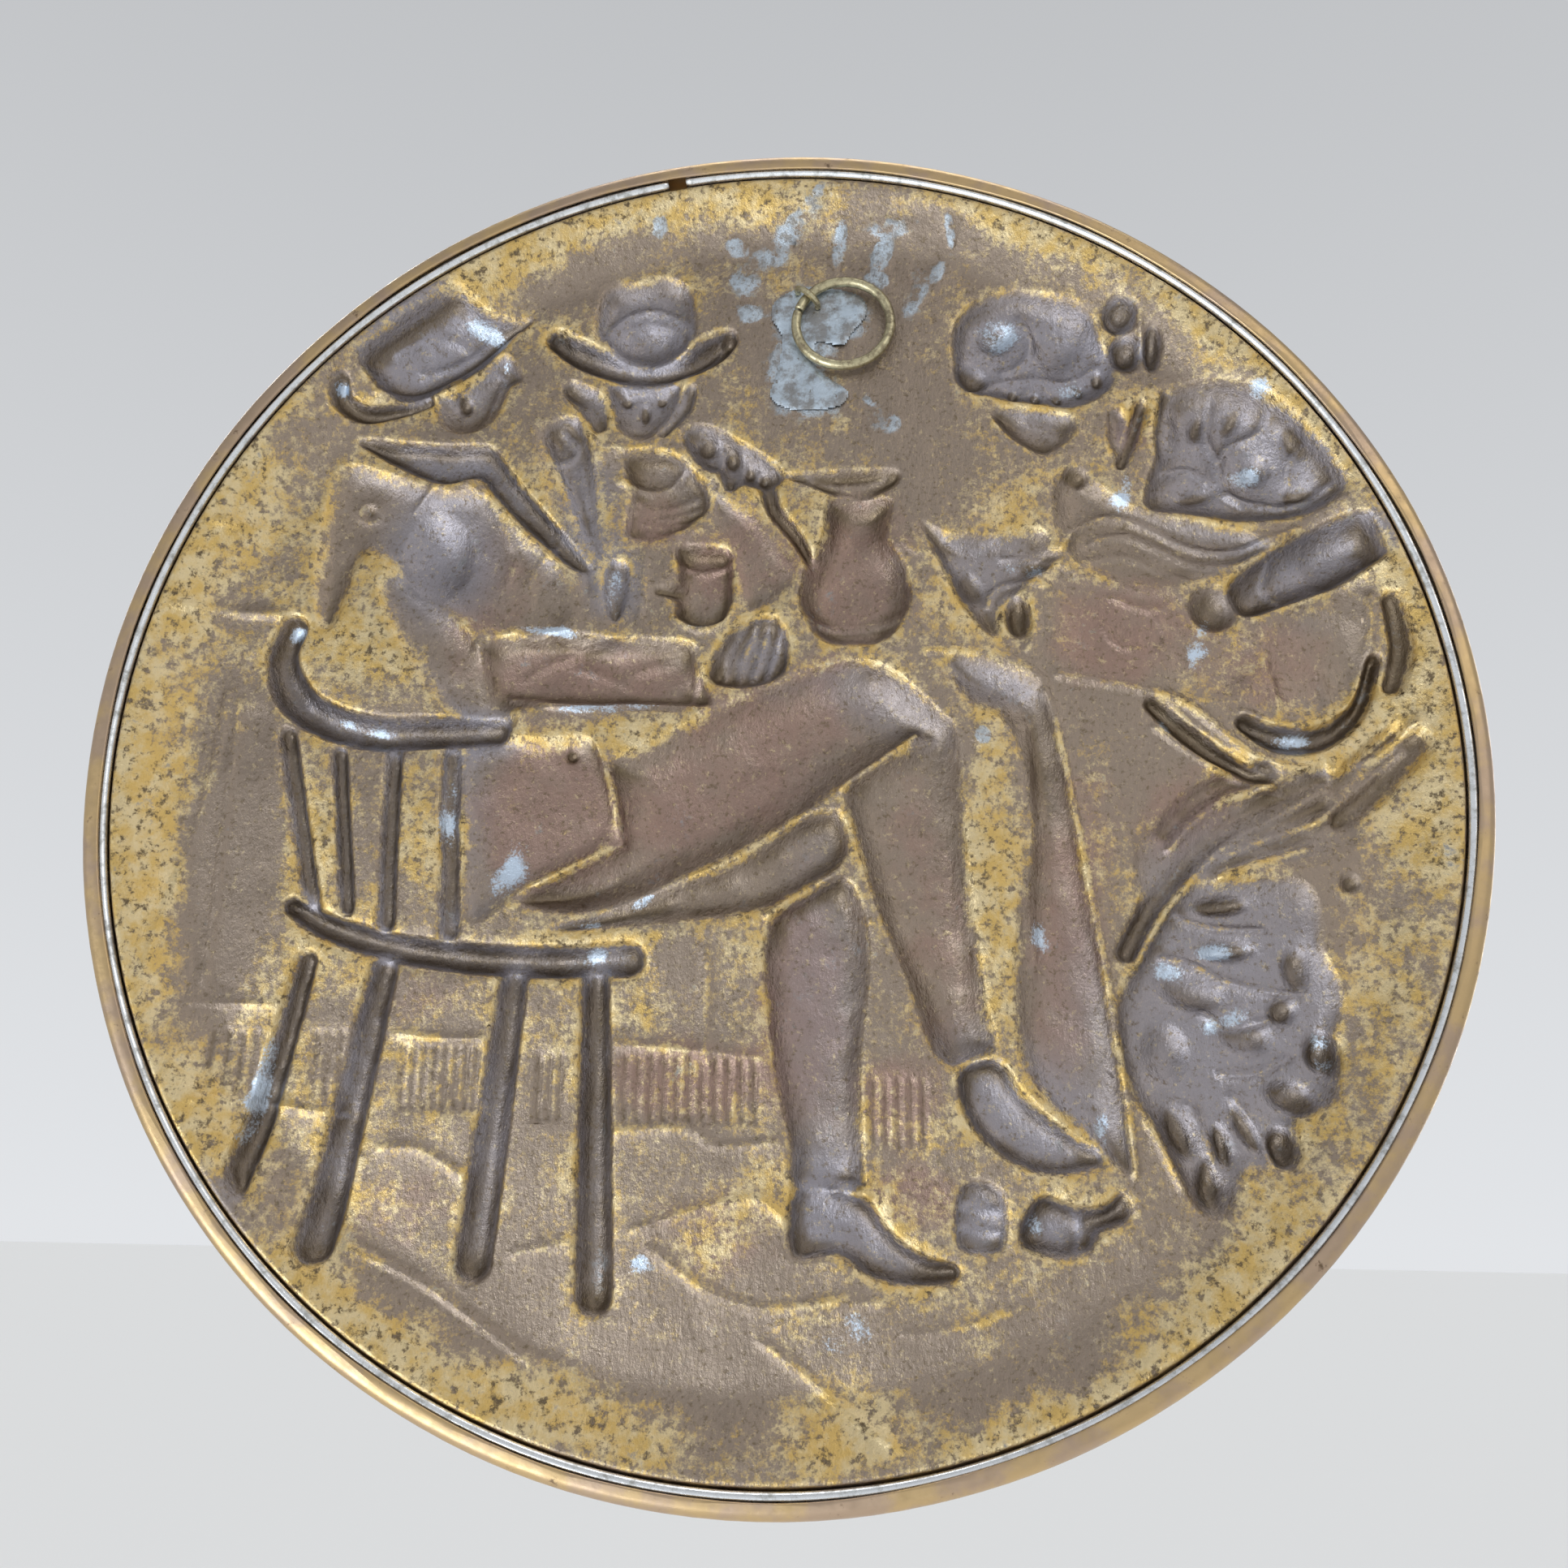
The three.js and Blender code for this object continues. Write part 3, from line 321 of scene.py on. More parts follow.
def middle_figure():
    area(1.6, 8, [[-68, 99], [-50, 90], [-30, 90], [-12, 80], [4, 64], [5, 46], [-10, 40], [-50, 38],
        [-58, 52], [-64, 78]])
    # hat: crown, the round of its band standing before it, upturned brim
    area(4.2, 5, [[-52, 124], [-52, 136], [-49, 142], [-40, 143], [-33, 145], [-26, 141], [-24, 133],
        [-25, 122], [-38, 118]])
    bowl(6.8, -37.5, 125, 12, 9.5, 0)
    ridge(1.1, 1.3, [[-50, 122], [-48, 130], [-43, 134.5], [-36, 135.5], [-30, 133], [-26, 128],
        [-26, 121]])
    limb(5.6, [[-63, 125, 3.4], [-54, 119.5, 4.6], [-40, 115, 4.6], [-27, 116.5, 4.4], [-19, 121, 4.6],
        [-15, 124, 3]])
    ridge(0.8, 1.3, [[-27, 114], [-20, 118], [-17, 123], [-19, 127]])
    # face: calm, seen from the front, with hair at both sides
    area(5, 6, [[-49, 112], [-47, 101], [-42, 94], [-35, 94], [-29, 101], [-27, 111], [-38, 113]])
    bowl(6.4, -38, 103, 2.4, 5, 8)
    bowl(5.8, -43, 106.5, 2.6, 1.8, 0)
    bowl(5.8, -33.5, 106.5, 2.6, 1.8, 0)
    ridge(0.5, 1.1, [[-42, 98.4], [-38, 97.6], [-34.5, 98.6]])
    limb(2.4, [[-58, 109, 3], [-52, 104, 4.4], [-50, 98, 2.5]])
    limb(2.2, [[-25, 108, 2], [-27, 102, 2.6], [-32, 95, 1.6]])
    ridge(0.9, 1.3, [[-59, 101], [-53, 95], [-43, 91], [-33, 92.5], [-26, 101]])
    # coat: the lapels, neckcloth and waistcoat between them
    area(4.2, 4, [[-66, 96], [-59, 101], [-54, 98], [-50, 84], [-48, 70], [-47, 57], [-53, 64], [-60, 80]])
    ridge(1, 1.4, [[-60, 97], [-56, 91], [-60, 87]])
    ridge(0.8, 1.2, [[-55, 86], [-52, 74], [-50, 64]])
    area(5, 3.5, [[-43, 88], [-34, 90], [-28, 88.5], [-20, 81], [-18, 73], [-26, 66], [-34, 63], [-42, 65],
        [-41, 78]])
    ridge(1.4, 1.5, [[-43, 81], [-36, 79], [-30, 80], [-26, 84]])
    for fold in range(4):
        ridge(0.7, 1.2, [[-40 + 1.5 * fold, 76 - 3.2 * fold], [-33 + fold, 73.5 - 2.6 * fold],
            [-22 + 0.5 * fold, 77 - 3.4 * fold]])
    area(3.2, 4, [[-18, 78], [-9, 72], [-2, 64], [5, 52], [-2, 44], [-8, 42], [-11, 50], [-14, 62],
        [-19, 68]])
    # fist with its fingers, holding a clay pipe whose stem slants down
    area(4.8, 4, [[-27, 95], [-21, 98], [-11, 93], [-1, 86], [2, 81], [-3, 77], [-9, 79], [-14, 77],
        [-17, 82], [-23, 86]])
    for u, v, size in [[-20, 91.5, 4], [-13, 88, 3.4], [-8, 84, 3], [-4, 82, 2.6]]:
        bowl(5.8, u, v, size, size * 1.15, 30)
    ridge(1, 1.2, [[-17, 95], [-15.5, 88], [-17.5, 82]])
    ridge(0.8, 1.1, [[-10.5, 92], [-9.5, 86], [-11.5, 80]])
    area(3.8, 2.6, [[0, 82], [12, 83], [31, 83.5], [33, 80], [28, 76], [22, 74], [14, 76], [8, 79]])
    ridge(1.1, 1.3, [[8, 81], [16, 79.5], [24, 80], [30, 81.5]])
    limb(3, [[-3, 80, 2.6], [-1, 72, 2.2], [5, 64, 1.9], [9.5, 56, 1.6]])
    # a glass, and the tankard with its handle
    area(3.6, 2, [[-47, 57], [-40, 57.5], [-39.5, 47], [-42.5, 39.5], [-46, 44]])
    area(2.4, 2, [[-54, 56], [-49, 57], [-48.5, 48], [-52, 48]])
    ridge(1, 1.2, [[-36, 60], [-35.5, 50], [-36.5, 40]])
    area(6.2, 3.5, [[-28, 62], [-20, 62.5], [-12, 61], [-11, 52], [-11.5, 44], [-14, 39], [-21, 37.5],
        [-27, 41], [-27.5, 46], [-33, 47.5], [-33, 50.5], [-27, 52]])
    ridge(1.6, 1.5, [[-27, 41], [-21, 37.7], [-14, 39], [-11.5, 44]])
    ridge(1, 1.2, [[-27, 57], [-20, 55.5], [-12, 57]])


def jug():
    area(7.6, 7, [[13, 75], [12, 64], [7, 54], [6, 44], [12, 34], [21, 32], [30, 34], [36, 44], [35, 54],
        [30, 64], [31, 74], [22, 77]])
    ridge(1, 1.6, [[8, 41], [14, 38.8], [24, 38.8], [34, 41]])
    ridge(0.9, 1.2, [[33.5, 62], [37, 59], [41, 58.5]])


def serving_figure():
    area(1.8, 9, [[72, 54], [86, 54], [104, 47], [118, 38], [126, 28], [118, 18], [106, 18], [94, 23],
        [80, 27], [73, 38]])
    # mob cap: crown, a bulge in front and a ruffled edge, then a bow behind
    area(5.6, 6, [[47, 122], [50, 131], [58, 136.5], [68, 137], [78, 134], [85, 130], [88, 123], [92, 114],
        [90, 106], [80, 101], [71, 102], [60, 104], [50, 109]])
    bowl(7.4, 60, 125, 9, 8, 10)
    bowl(7, 76, 121, 11, 11)
    bowl(6.6, 54, 112, 6, 7, 30)
    ridge(1.1, 1.6, [[66, 131], [69, 124], [67, 117], [61, 114]])
    ridge(1, 1.5, [[52, 106], [60, 111], [70, 112], [79, 111], [87, 115]])
    for u, v in [[64, 107], [70, 106], [76, 106], [82, 108], [87, 111]]:
        bowl(6.4, u, v, 2.4, 3.4, 10)
    bowl(3.8, 93, 128, 5, 5.5, 20)
    ring_mark(94, 129, 3.6)
    bowl(4.8, 94.5, 117.5, 5.4, 5.6)
    bowl(4, 101.5, 118, 2.6, 6.5)
    ridge(1, 1.2, [[98, 127], [98.5, 121], [98, 114]])
    # face turned down, in profile
    area(4.2, 5, [[58, 101], [60, 95], [66, 89], [72, 86], [78, 90], [81, 97], [76, 101], [67, 102]])
    ridge(0.9, 1.2, [[58, 97], [64, 91], [71, 87.5], [77, 90]])
    ridge(0.6, 1.2, [[67, 98], [72, 96.5], [75, 93]])
    # neck, its ribbons and a curl of hair
    area(2.4, 3, [[89, 100], [95, 99], [93, 87], [89, 89]])
    limb(3, [[98, 101, 2.2], [95, 92, 2.2], [92, 84, 1.6]])
    limb(2.6, [[105, 104, 1.8], [103.5, 93, 2.4], [104, 84, 2]])
    bowl(3, 80, 80, 4.5, 4, -30)
    ridge(0.9, 1.1, [[76, 82], [79, 84], [83, 81], [82, 78]])
    # puffed sleeve with gathers
    area(5.4, 6, [[104, 104], [112, 107.5], [122, 106.5], [131, 101.5], [140, 93], [147, 84], [150, 74],
        [140, 68], [122, 66.5], [108, 69], [98, 71], [99, 80], [103, 91]])
    bowl(6.8, 128, 83, 8, 7, 30)
    bowl(6.2, 113, 96, 4, 8, -15)
    bowl(6.2, 122, 97, 4, 7, -30)
    bowl(6, 137, 88, 4, 8, 30)
    bowl(6.2, 112, 76, 9, 4, 10)
    bowl(6.2, 138, 75, 8, 3.6, -10)
    ridge(1.3, 1.6, [[117, 103], [115.5, 94], [118, 86], [119, 78], [124, 73]])
    ridge(1.1, 1.5, [[131, 98], [129, 93], [122, 91], [119, 86]])
    ridge(1.1, 1.5, [[104, 82], [110, 84], [116, 80]])
    ridge(1.2, 1.5, [[120, 76], [127, 73.5], [136, 72], [146, 76]])
    ridge(0.9, 1.4, [[142, 90], [136, 84], [136, 78]])
    # the sleeve's edge, the bodice and near shoulder
    area(3.4, 6, [[74, 80], [84, 80], [94, 72], [108, 68], [124, 64], [130, 59], [116, 51], [98, 48],
        [84, 52], [75, 62]])
    ridge(1.5, 1.4, [[76, 60], [80, 66], [88, 69], [98, 66], [108, 60.5], [118, 58.5], [130, 61.5],
        [137, 64]])
    ridge(1.1, 1.4, [[84, 62], [92, 64], [101, 60], [110, 55], [120, 54], [128, 57]])
    ridge(0.9, 1.4, [[82, 56], [92, 58], [100, 54], [108, 50]])
    # bare forearm and elbow
    limb(6.4, [[158, 61, 6.5], [146, 57, 8.5], [133, 51, 8], [124, 46, 6.5]])
    ridge(0.8, 1.6, [[130, 56], [128, 50], [131, 45]])
    bowl(4.8, 114, 42, 6.5, 7, 40)
    ridge(1.2, 1.6, [[124, 40], [134, 43], [146, 47], [158, 54]])
    # the hands at work in the lap
    area(4.4, 5, [[38, 68], [46, 64], [58, 64], [70, 66], [73, 59], [68, 51], [60, 42], [58, 34], [50, 42],
        [45, 52]])
    bowl(5.4, 52, 50, 5, 9, 25)
    bowl(4.6, 67, 56, 8, 4, 15)
    bowl(4.2, 63.5, 41, 3.6, 7, 6)
    ridge(1.3, 1.2, [[56, 44], [58, 49], [64, 51], [72, 49]])
    ridge(0.9, 1.2, [[60, 58], [68, 57.5], [78, 54]])
    ridge(0.9, 1.2, [[44, 63], [52, 60], [60, 62]])
    ridge(1.1, 1.2, [[67, 46], [68, 38], [66, 31]])
    ridge(1.3, 1.3, [[86, 38], [89, 32.5], [95, 31.5]])
    ridge(1.1, 1.3, [[88, 46], [96, 42.5], [103, 42]])
    ridge(0.8, 1.3, [[100, 40], [102, 34], [99, 30]])


def seat_and_skirts():
    # round seat seen nearly from above: its rim is a crescent trough around a shallow disc
    bowl(2.4, 139, 27, 14, 15)
    limb(4.4, [[120, 11, 2], [126, 7.5, 3.2], [133, 6, 3.8], [141, 8, 3.4], [149, 15, 2.4], [153, 27, 1.8]])
    limb(3, [[158, 42, 2.6], [159.5, 30, 3], [157, 20, 2.6]])
    ridge(1.3, 1.4, [[120, 14], [128, 10.5], [137, 9.8], [144, 13], [149, 20], [152.5, 32], [153, 44]])
    ridge(0.8, 1.4, [[142, 10], [141.5, 18], [140, 24]])
    ridge(0.7, 1.3, [[129, 12], [128, 20], [126, 28]])
    # the apron's hem, sweeping from the lap round the seat
    ridge(1.5, 1.8, [[74, 24], [88, 21.5], [98, 19], [106, 16], [113, 10], [121, 3], [131, -1], [145, -1.5],
        [156, 5], [162, 10]])
    ridge(1.4, 1.5, [[98, 10], [104, 5], [112, -0.5], [120, -4.5], [128, -7]])
    ridge(1, 1.3, [[103, 13.5], [110, 8], [118, 1.5], [126, -2.5]])
    limb(3.4, [[97, 16, 1.8], [104, 9.5, 2.8], [112, 3, 2.8], [122, -3, 1.6]])
    # skirts gathered up to the seat, fanning down to the left
    area(2.2, 7, [[140, -6], [126, -5], [112, -7], [102, -12], [92, -18], [90, -30], [93, -42], [104, -34],
        [118, -28], [136, -26], [148, -18]])
    folds = [
        [[140, -7], [129, -12.5], [118, -18], [110, -24], [103, -32], [96, -41], [90, -52]],
        [[126, -6], [116, -9], [107, -14.5], [100, -22]],
        [[140, -14], [130, -17.5], [120, -21], [110, -25.5]],
        [[158, 3], [150, -4], [143, -10], [136, -15]],
        [[134, -22], [124, -25], [112, -29]],
    ]
    for number, fold in enumerate(folds):
        limb(3 - 0.2 * number, [[u - 1.5, v + 4, 3.2] for u, v in fold], lip=0)
        ridge(1.5, 1.4, fold)
    limb(3, [[160, 4, 4.5], [150, -6, 5], [142, -14, 4]])
    ring_mark(143, -31, 3.6)
    bowl(1.6, 143, -31, 2.2, 2.2)
    # cloth bundle on the floor beside the seat: swelling folds between sharp creases
    area(3.6, 5, [[104, -31], [118, -29], [132, -30], [135.5, -38], [135, -46], [138.5, -54], [139, -62],
        [136, -70], [137, -79], [134, -85], [127, -88], [126, -93], [122, -99], [114, -100.5], [111, -107],
        [107, -111.5], [102, -109], [98, -102], [93, -92], [88, -82], [85, -70], [86, -59], [91, -49],
        [97, -39]])
    lumps = [
        [112, -36, 10, 3.4, 4], [113, -47, 10, 4, 2], [104, -58, 13, 6, -18], [97, -72, 8, 11, 10],
        [116, -68, 10, 7, -20], [129, -52, 5, 8, 8], [133, -72, 4.6, 7, 10], [125, -82, 8, 5.5, -15],
        [122, -94, 4.5, 6, 10], [115, -90, 4, 9, 32], [105.5, -102, 4.4, 8, -6], [99, -91, 4, 10, 24],
        [109, -94, 2.6, 8, 12], [125, -62, 5, 5, 0],
    ]
    for u, v, a, b, turn in lumps:
        bowl(5.8, u, v, a, b, turn)
    creases = [
        [[101, -39], [109, -41.5], [122, -42]],
        [[97, -49], [104, -50.5], [112, -54.5], [122, -57], [129, -58]],
        [[106, -62], [112, -66], [122, -64]],
        [[110, -77], [118, -77], [126, -73]],
        [[102, -84], [105, -92], [107.5, -102]],
        [[91, -87], [95, -95], [99, -104]],
        [[112, -82], [117, -90], [120, -98]],
    ]
    for crease in creases:
        ridge(1.5, 1.4, crease)


def standing_leg():
    # a stockinged leg seen between the two sitters, with its knee under the jug
    area(4.4, 8, [[45, 29], [58, 27.5], [70, 20], [73.5, 6], [77, -16], [80, -36], [83, -55], [86, -78],
        [88, -100], [81, -98], [71, -89], [62, -76], [60.5, -58], [62, -35], [64, -10], [61, 10], [50, 17]])
    ridge(1.4, 1.4, [[70, 20], [73.5, 6], [77, -16], [80, -36], [83, -55], [86, -78], [88, -101]])
    ridge(0.8, 1.8, [[65, 12], [66, -12], [65, -34], [66, -52]])
    area(1.6, 5, [[42, 26], [50, 29], [60, 27], [70, 21], [68, 15], [58, 18], [48, 21]])
    ridge(0.9, 1.4, [[40, 31], [50, 31], [60, 29.5], [70, 23]])


def floor_things():
    area(2.8, 2.5, [[47, -104], [57, -105.5], [57, -119], [46, -118.5]])
    for band in range(2):
        ridge(0.8, 1.1, [[47.5, -109 - 5 * band], [56.5, -110 - 5 * band]])
    # a small jug lying on its side
    area(5.4, 4.5, [[61, -118], [61, -112], [66, -106], [74, -108], [80, -108], [85, -105], [87, -111],
        [80, -115], [77, -119], [69, -121]])
    ridge(0.8, 1.4, [[73, -107], [75, -113], [74, -119]])


def room():
    # wall panelling at the left
    ridge(1, 2, [[-166, 43], [-150, 43], [-133, 42]])
    ridge(0.9, 2.2, [[-158, 68], [-146, 67]])
    ridge(0.8, 1.6, [[-146, 20], [-148, -10], [-153, -35], [-157, -62]])
    ridge(0.8, 1.2, [[-142.5, 18], [-142.5, -58]])
    limb(0.5, [[-137, 12, 5], [-137, -56, 5]], lip=0)
    ridge(0.9, 1.3, [[-152, -88], [-130, -87], [-104, -90]])
    ridge(0.7, 1.2, [[-146, -63], [-125, -63]])
    # a fringe of upright flutes along the wall, seen between the legs
    bays = [[-140, -126, 4, -70], [-114, -104, 3, -70], [-91, -70, 8, -73], [-57, -49, 3, -75],
        [-36, -1, 11, -75], [25, 40, 5, -80]]
    for left, right, count, top in bays:
        for flute in range(count):
            u = left + (flute + 0.5) * (right - left) / count
            ridge(-1.1, 1.1, [[u, top], [u, top - 15]])
    ridge(0.9, 1.4, [[-92, -70], [-80, -71], [-70, -71]])
    ridge(0.9, 1.4, [[-36, -72], [-20, -73], [-2, -75]])
    ridge(0.8, 1.6, [[-36, -93], [-18, -92], [-12, -96], [3, -95]])
    ridge(0.8, 1.3, [[-15, -48], [-15, -76]])
    # floorboards and the edge of a rug
    ridge(1.1, 1.5, [[-99, -121], [-82, -128], [-67, -137], [-53, -146]])
    ridge(0.9, 1.5, [[-94, -98], [-84, -98], [-73, -104]])
    ridge(0.8, 1.4, [[-31, -116], [-16, -111], [-2, -108], [5, -112]])
    ridge(0.9, 1.6, [[-26, -120], [-13, -129], [2, -133], [20, -130]])
    ridge(0.8, 1.5, [[0, -140], [12, -148], [24, -157], [35, -163]])
    ridge(0.7, 1.5, [[4, -137], [16, -132], [30, -131]])
    ridge(0.7, 1.5, [[34, -138], [48, -136], [62, -131]])
    ridge(0.7, 1.4, [[-60, -122], [-46, -119]])


for draw in (seated_figure, tub_chair, middle_figure, jug, serving_figure, seat_and_skirts,
             standing_leg, floor_things, room):
    draw()


# ---- smoothing and noise on the grid
def blur(field, size):
    """Gaussian blur of a grid, size in mm."""
    frequency = np.fft.fftfreq(len(field), STEP)
    gain = np.exp(-2 * (math.pi * size * frequency) ** 2)
    return np.fft.ifft2(np.fft.fft2(field) * gain[:, None] * gain[None, :]).real


def grain(size, seed):
    """Smooth noise with features of about `size` mm and a spread of one."""
    noise = blur(np.random.RandomState(seed).normal(size=GRID_U.shape), size)
    return noise / noise.std()


def smoothstep(x, low, high):
    """From zero at low to one at high, easing in and out."""
    t = np.clip((x - low) / (high - low), 0, 1)
    return t * t * (3 - 2 * t)


# ---- depth of the sheet's back
def dish_depth(r):
    """The plain dish: a flat field whose rim comes back toward the hem."""
    full = smoothstep(DISH_RADIUS, FIELD_RADIUS, DISH_RADIUS + 4)
    t = smoothstep(r, FIELD_RADIUS, DISH_RADIUS + 4) / full
    return FIELD_DEPTH - (FIELD_DEPTH - DISH_EDGE_DEPTH) * t


fade = 1 - smoothstep(GRID_R, DISH_RADIUS - 5, DISH_RADIUS - 0.5)
uneven = 0.25 * grain(11, 1) + 0.09 * grain(3.4, 2) + 0.045 * grain(1.2, 3)
worked = smoothstep(pressed, 0.4, 3) * (0.2 * grain(4.2, 4) + 0.09 * grain(1.7, 5))
relief = 0.65 * blur(pressed - ridges, 0.3) + 0.35 * blur(pressed - ridges, 0.9) + uneven + worked
depth_map = dish_depth(GRID_R) + relief * fade


def sample(field, u, v):
    """Bilinear values of a grid at places (u, v) in mm."""
    x = np.clip(u / STEP + HALF_CELLS, 0, 2 * HALF_CELLS - 1.001)
    y = np.clip(v / STEP + HALF_CELLS, 0, 2 * HALF_CELLS - 1.001)
    i, j = x.astype(int), y.astype(int)
    fx, fy = x - i, y - j
    top = field[j, i] * (1 - fx) + field[j, i + 1] * fx
    bottom = field[j + 1, i] * (1 - fx) + field[j + 1, i + 1] * fx
    return top * (1 - fy) + bottom * fy


# ---- masks for the materials
def spots(places, sharp):
    """A soft mask of patches, each an oval."""
    mask = np.zeros_like(GRID_U)
    for patch in places:
        mask = np.maximum(mask, np.clip((1.25 - oval(*patch)) * sharp, 0, 1))
    return mask


def tint(places):
    """A sum of soft patches, each an oval and its weight."""
    total = np.zeros_like(GRID_U)
    for *patch, weight in places:
        total += weight * np.exp(-oval(*patch) ** 4 / 2)
    return total


# patches: [u, v, half-length, half-width, turn in degrees], and a weight where there is one more value
SOLDER_RUNS = [
    [7, 128, 9, 13, 10], [4, 112, 8, 13, 0], [10, 105, 10, 6, 0], [17, 130, 9, 8, 0],
    [3, 157, 9, 4, 38], [10, 165, 7, 3, 40], [-4, 150, 7, 5, 45], [-10, 144, 5, 5, 0],
    [-13, 153, 4, 3, 0], [-9, 132, 4, 3, 0], [32, 157, 8, 2.6, 3], [28, 150, 3, 7, -25],
    [26, 142, 4, 3, 0], [16, 153, 2, 7, -10], [38, 136, 2, 9, -28], [43, 143, 2, 5, -25],
    [-35, 158, 2.4, 3.4, -15], [47, 155, 1.5, 5, 10], [24, 106, 5, 2, -50], [30, 97, 4, 3, 0],
    [54, 8, 2.6, 2.6, 0],
]
DEPOSIT_AND_SHEEN = [                               # pale blue-grey patches: partly deposits on the metal, partly painted reflections of cool light
    [-84, -15, 2.6, 13, 0], [-66, -27, 6, 9, -25], [-60, 37, 9, 1.6, -8], [-42, 15.5, 16, 2, 4],
    [-20, 39, 7, 1.8, 8], [-44, 49, 2.6, 7, 0], [-122, 107, 2.4, 5, 10], [-79, 112, 2, 9, -15],
    [-84, 129, 9, 3, -25], [-130, 37, 3, 3, 0], [-108, 11, 9, 2, -14], [-47, -42, 7, 1.6, 0],
    [-42, -50, 8, 2.4, 4], [66, 54, 7, 3.4, -20], [92, 76, 4, 6, 0], [110, 33, 3, 8, -18],
    [130, 6.5, 10, 2, 6], [78, 108, 9, 4, 15], [60, 126, 7, 6, 0], [112, -47, 9, 2.4, 4],
    [110, -65, 9, 3, 25], [134, -72, 3, 6, 15], [98, -52, 5, 3, -20], [126, 82, 6, 4, 0],
    [-126, -85, 2.6, 14, -10], [-105, -112, 3, 8, -8], [64, -113, 3, 4, 0], [20, -138, 8, 5, 20],
    [-28, -123, 5, 2, -30], [-32, -36, 5, 1.2, 28], [101, 10, 6, 1.8, -42], [148, 120, 3, 2, 0],
    [81, -90, 2, 6, 0], [67, -45, 2.4, 8, 0], [130, 103, 5, 3, -20],
]
GOLD = [                                # where the brass is bare, or less so
    [-75, 152, 42, 9, 27, 0.75], [-20, 165, 34, 7, 3, 0.5], [75, 156, 34, 9, -24, 0.75],
    [118, 128, 17, 11, -42, 0.85], [146, 92, 24, 7, -58, 0.7], [163, 45, 7, 30, 5, 0.7],
    [158, -4, 12, 24, 12, 0.65], [152, -50, 10, 24, -12, 0.35], [128, -110, 26, 14, 48, 0.5],
    [18, -158, 14, 8, 0, 0.7], [-45, -155, 30, 7, -10, 0.6], [-95, -140, 22, 7, -40, 0.55],
    [60, -160, 26, 7, 20, 0.45], [95, -135, 20, 10, 40, 0.4], [-150, 68, 20, 22, 40, 0.5],
    [-163, 10, 14, 50, 0, 0.6], [-158, -50, 12, 34, 8, 0.45], [-138, -92, 14, 14, 0, 0.45],
    [-145, 100, 20, 8, 50, 0.6], [-108, 32, 18, 11, -30, 0.4], [-118, 70, 8, 16, 0, 0.3],
    [-118, -15, 4, 22, 8, 0.4], [-92, -15, 4, 22, 0, 0.3], [-35, 9, 26, 4, 6, 0.4],
    [56, -15, 5, 38, 0, 0.45], [4, 55, 8, 12, 0, 0.25], [-4, 150, 30, 14, 0, 0.15],
    [-45, -45.5, 18, 1.6, 0, 0.8], [100, 102, 8, 5, 0, 0.5], [45, 50, 6, 16, 10, 0.2],
    [62, 75, 10, 10, 0, 0.2], [148, 5, 14, 8, 20, 0.5], [92, -17, 9, 5, 15, 0.4],
    [-70, 66, 6, 16, 30, 0.25], [-113, 73.5, 3.4, 3.4, 0, 0.8], [-100, 104, 20, 3, 0, 0.35],
    [-30, -52, 4, 20, 0, 0.15], [10, -112, 30, 8, 0, 0.15], [-8, -125, 16, 5, -25, 0.3],
    [-145, -20, 6, 40, 5, -0.3], [-137, -25, 6, 34, 0, -0.3], [90, 5, 12, 30, 20, -0.25],
    [30, 112, 12, 16, 0, -0.1], [-66, -95, 22, 14, 0, -0.1], [-20, -150, 22, 8, 0, -0.2],
]
VIOLET = [                              # greyer patina, inside the hollows
    [-95, 122, 27, 17, 20, 1], [-38, 122, 28, 20, 0, 1], [70, 118, 26, 19, -10, 1],
    [125, 84, 27, 22, -10, 0.9], [-92.5, 60, 14, 17, 12, 1], [-95, 87, 26, 8, -10, 0.9],
    [-66, 72, 20, 8, -52, 0.8], [-112, 18, 26, 14, -30, 1], [-80, 9, 14, 6, 0, 1],
    [-75, -48, 50, 8, -5, 1], [-108, -80, 26, 46, 8, 0.9], [-55, -90, 22, 42, 0, 0.8],
    [-118, -18, 14, 26, 10, 0.9], [-92, -18, 14, 26, 0, 0.7], [60, -88, 24, 14, -30, 0.9],
    [24, -114, 26, 14, -20, 0.9], [114, -65, 30, 40, 0, 0.9], [142, 55, 22, 12, 20, 0.8],
    [-12, 88, 18, 12, -25, 0.7], [-43, 48, 6, 12, 0, 0.9], [74, -113, 15, 9, 0, 1],
    [52, 56, 16, 12, 0, 0.7], [-56, 80, 10, 22, 15, 0.7], [58, 24, 16, 6, -15, 0.7],
    [-2, 32, 10, 10, 0, 0.8], [96, 120, 10, 14, 0, 0.9], [132, 6, 16, 8, 0, 0.8],
    [52, -111, 7, 9, 0, 0.8], [14, -62, 10, 44, 0, 0.35], [30, 20, 22, 9, -30, 0.5],
]
RED = [                                 # where the patina is thin and coppery
    [-8, 2, 34, 16, 38, 0.8], [-60, -12, 18, 20, 0, 0.9], [-48, 24, 28, 8, 0, 0.8],
    [22, 55, 14, 18, 0, 0.7], [8, -62, 10, 26, 0, 0.8], [40, -40, 9, 34, 10, 0.5],
    [74, -45, 9, 40, -6, 0.7], [-20, -80, 18, 9, 0, 0.9], [32, -84, 9, 9, 0, 0.9],
    [90, 36, 18, 14, 0, 0.8], [-33, 70, 10, 8, 0, 0.7], [-6, 62, 12, 14, 0, 0.6],
    [-80, 50, 12, 20, 0, 0.5], [96, 96, 5, 8, 0, 0.8], [-88, -110, 12, 10, 0, 0.5],
    [-10, -116, 14, 9, 0, 0.6], [34, -108, 12, 8, 0, 0.8], [104, -12, 16, 10, 25, 0.6],
    [128, 28, 14, 13, 0, 0.6], [-20, 55, 8, 10, 0, 0.6], [-90, -60, 16, 6, 0, 0.4],
]


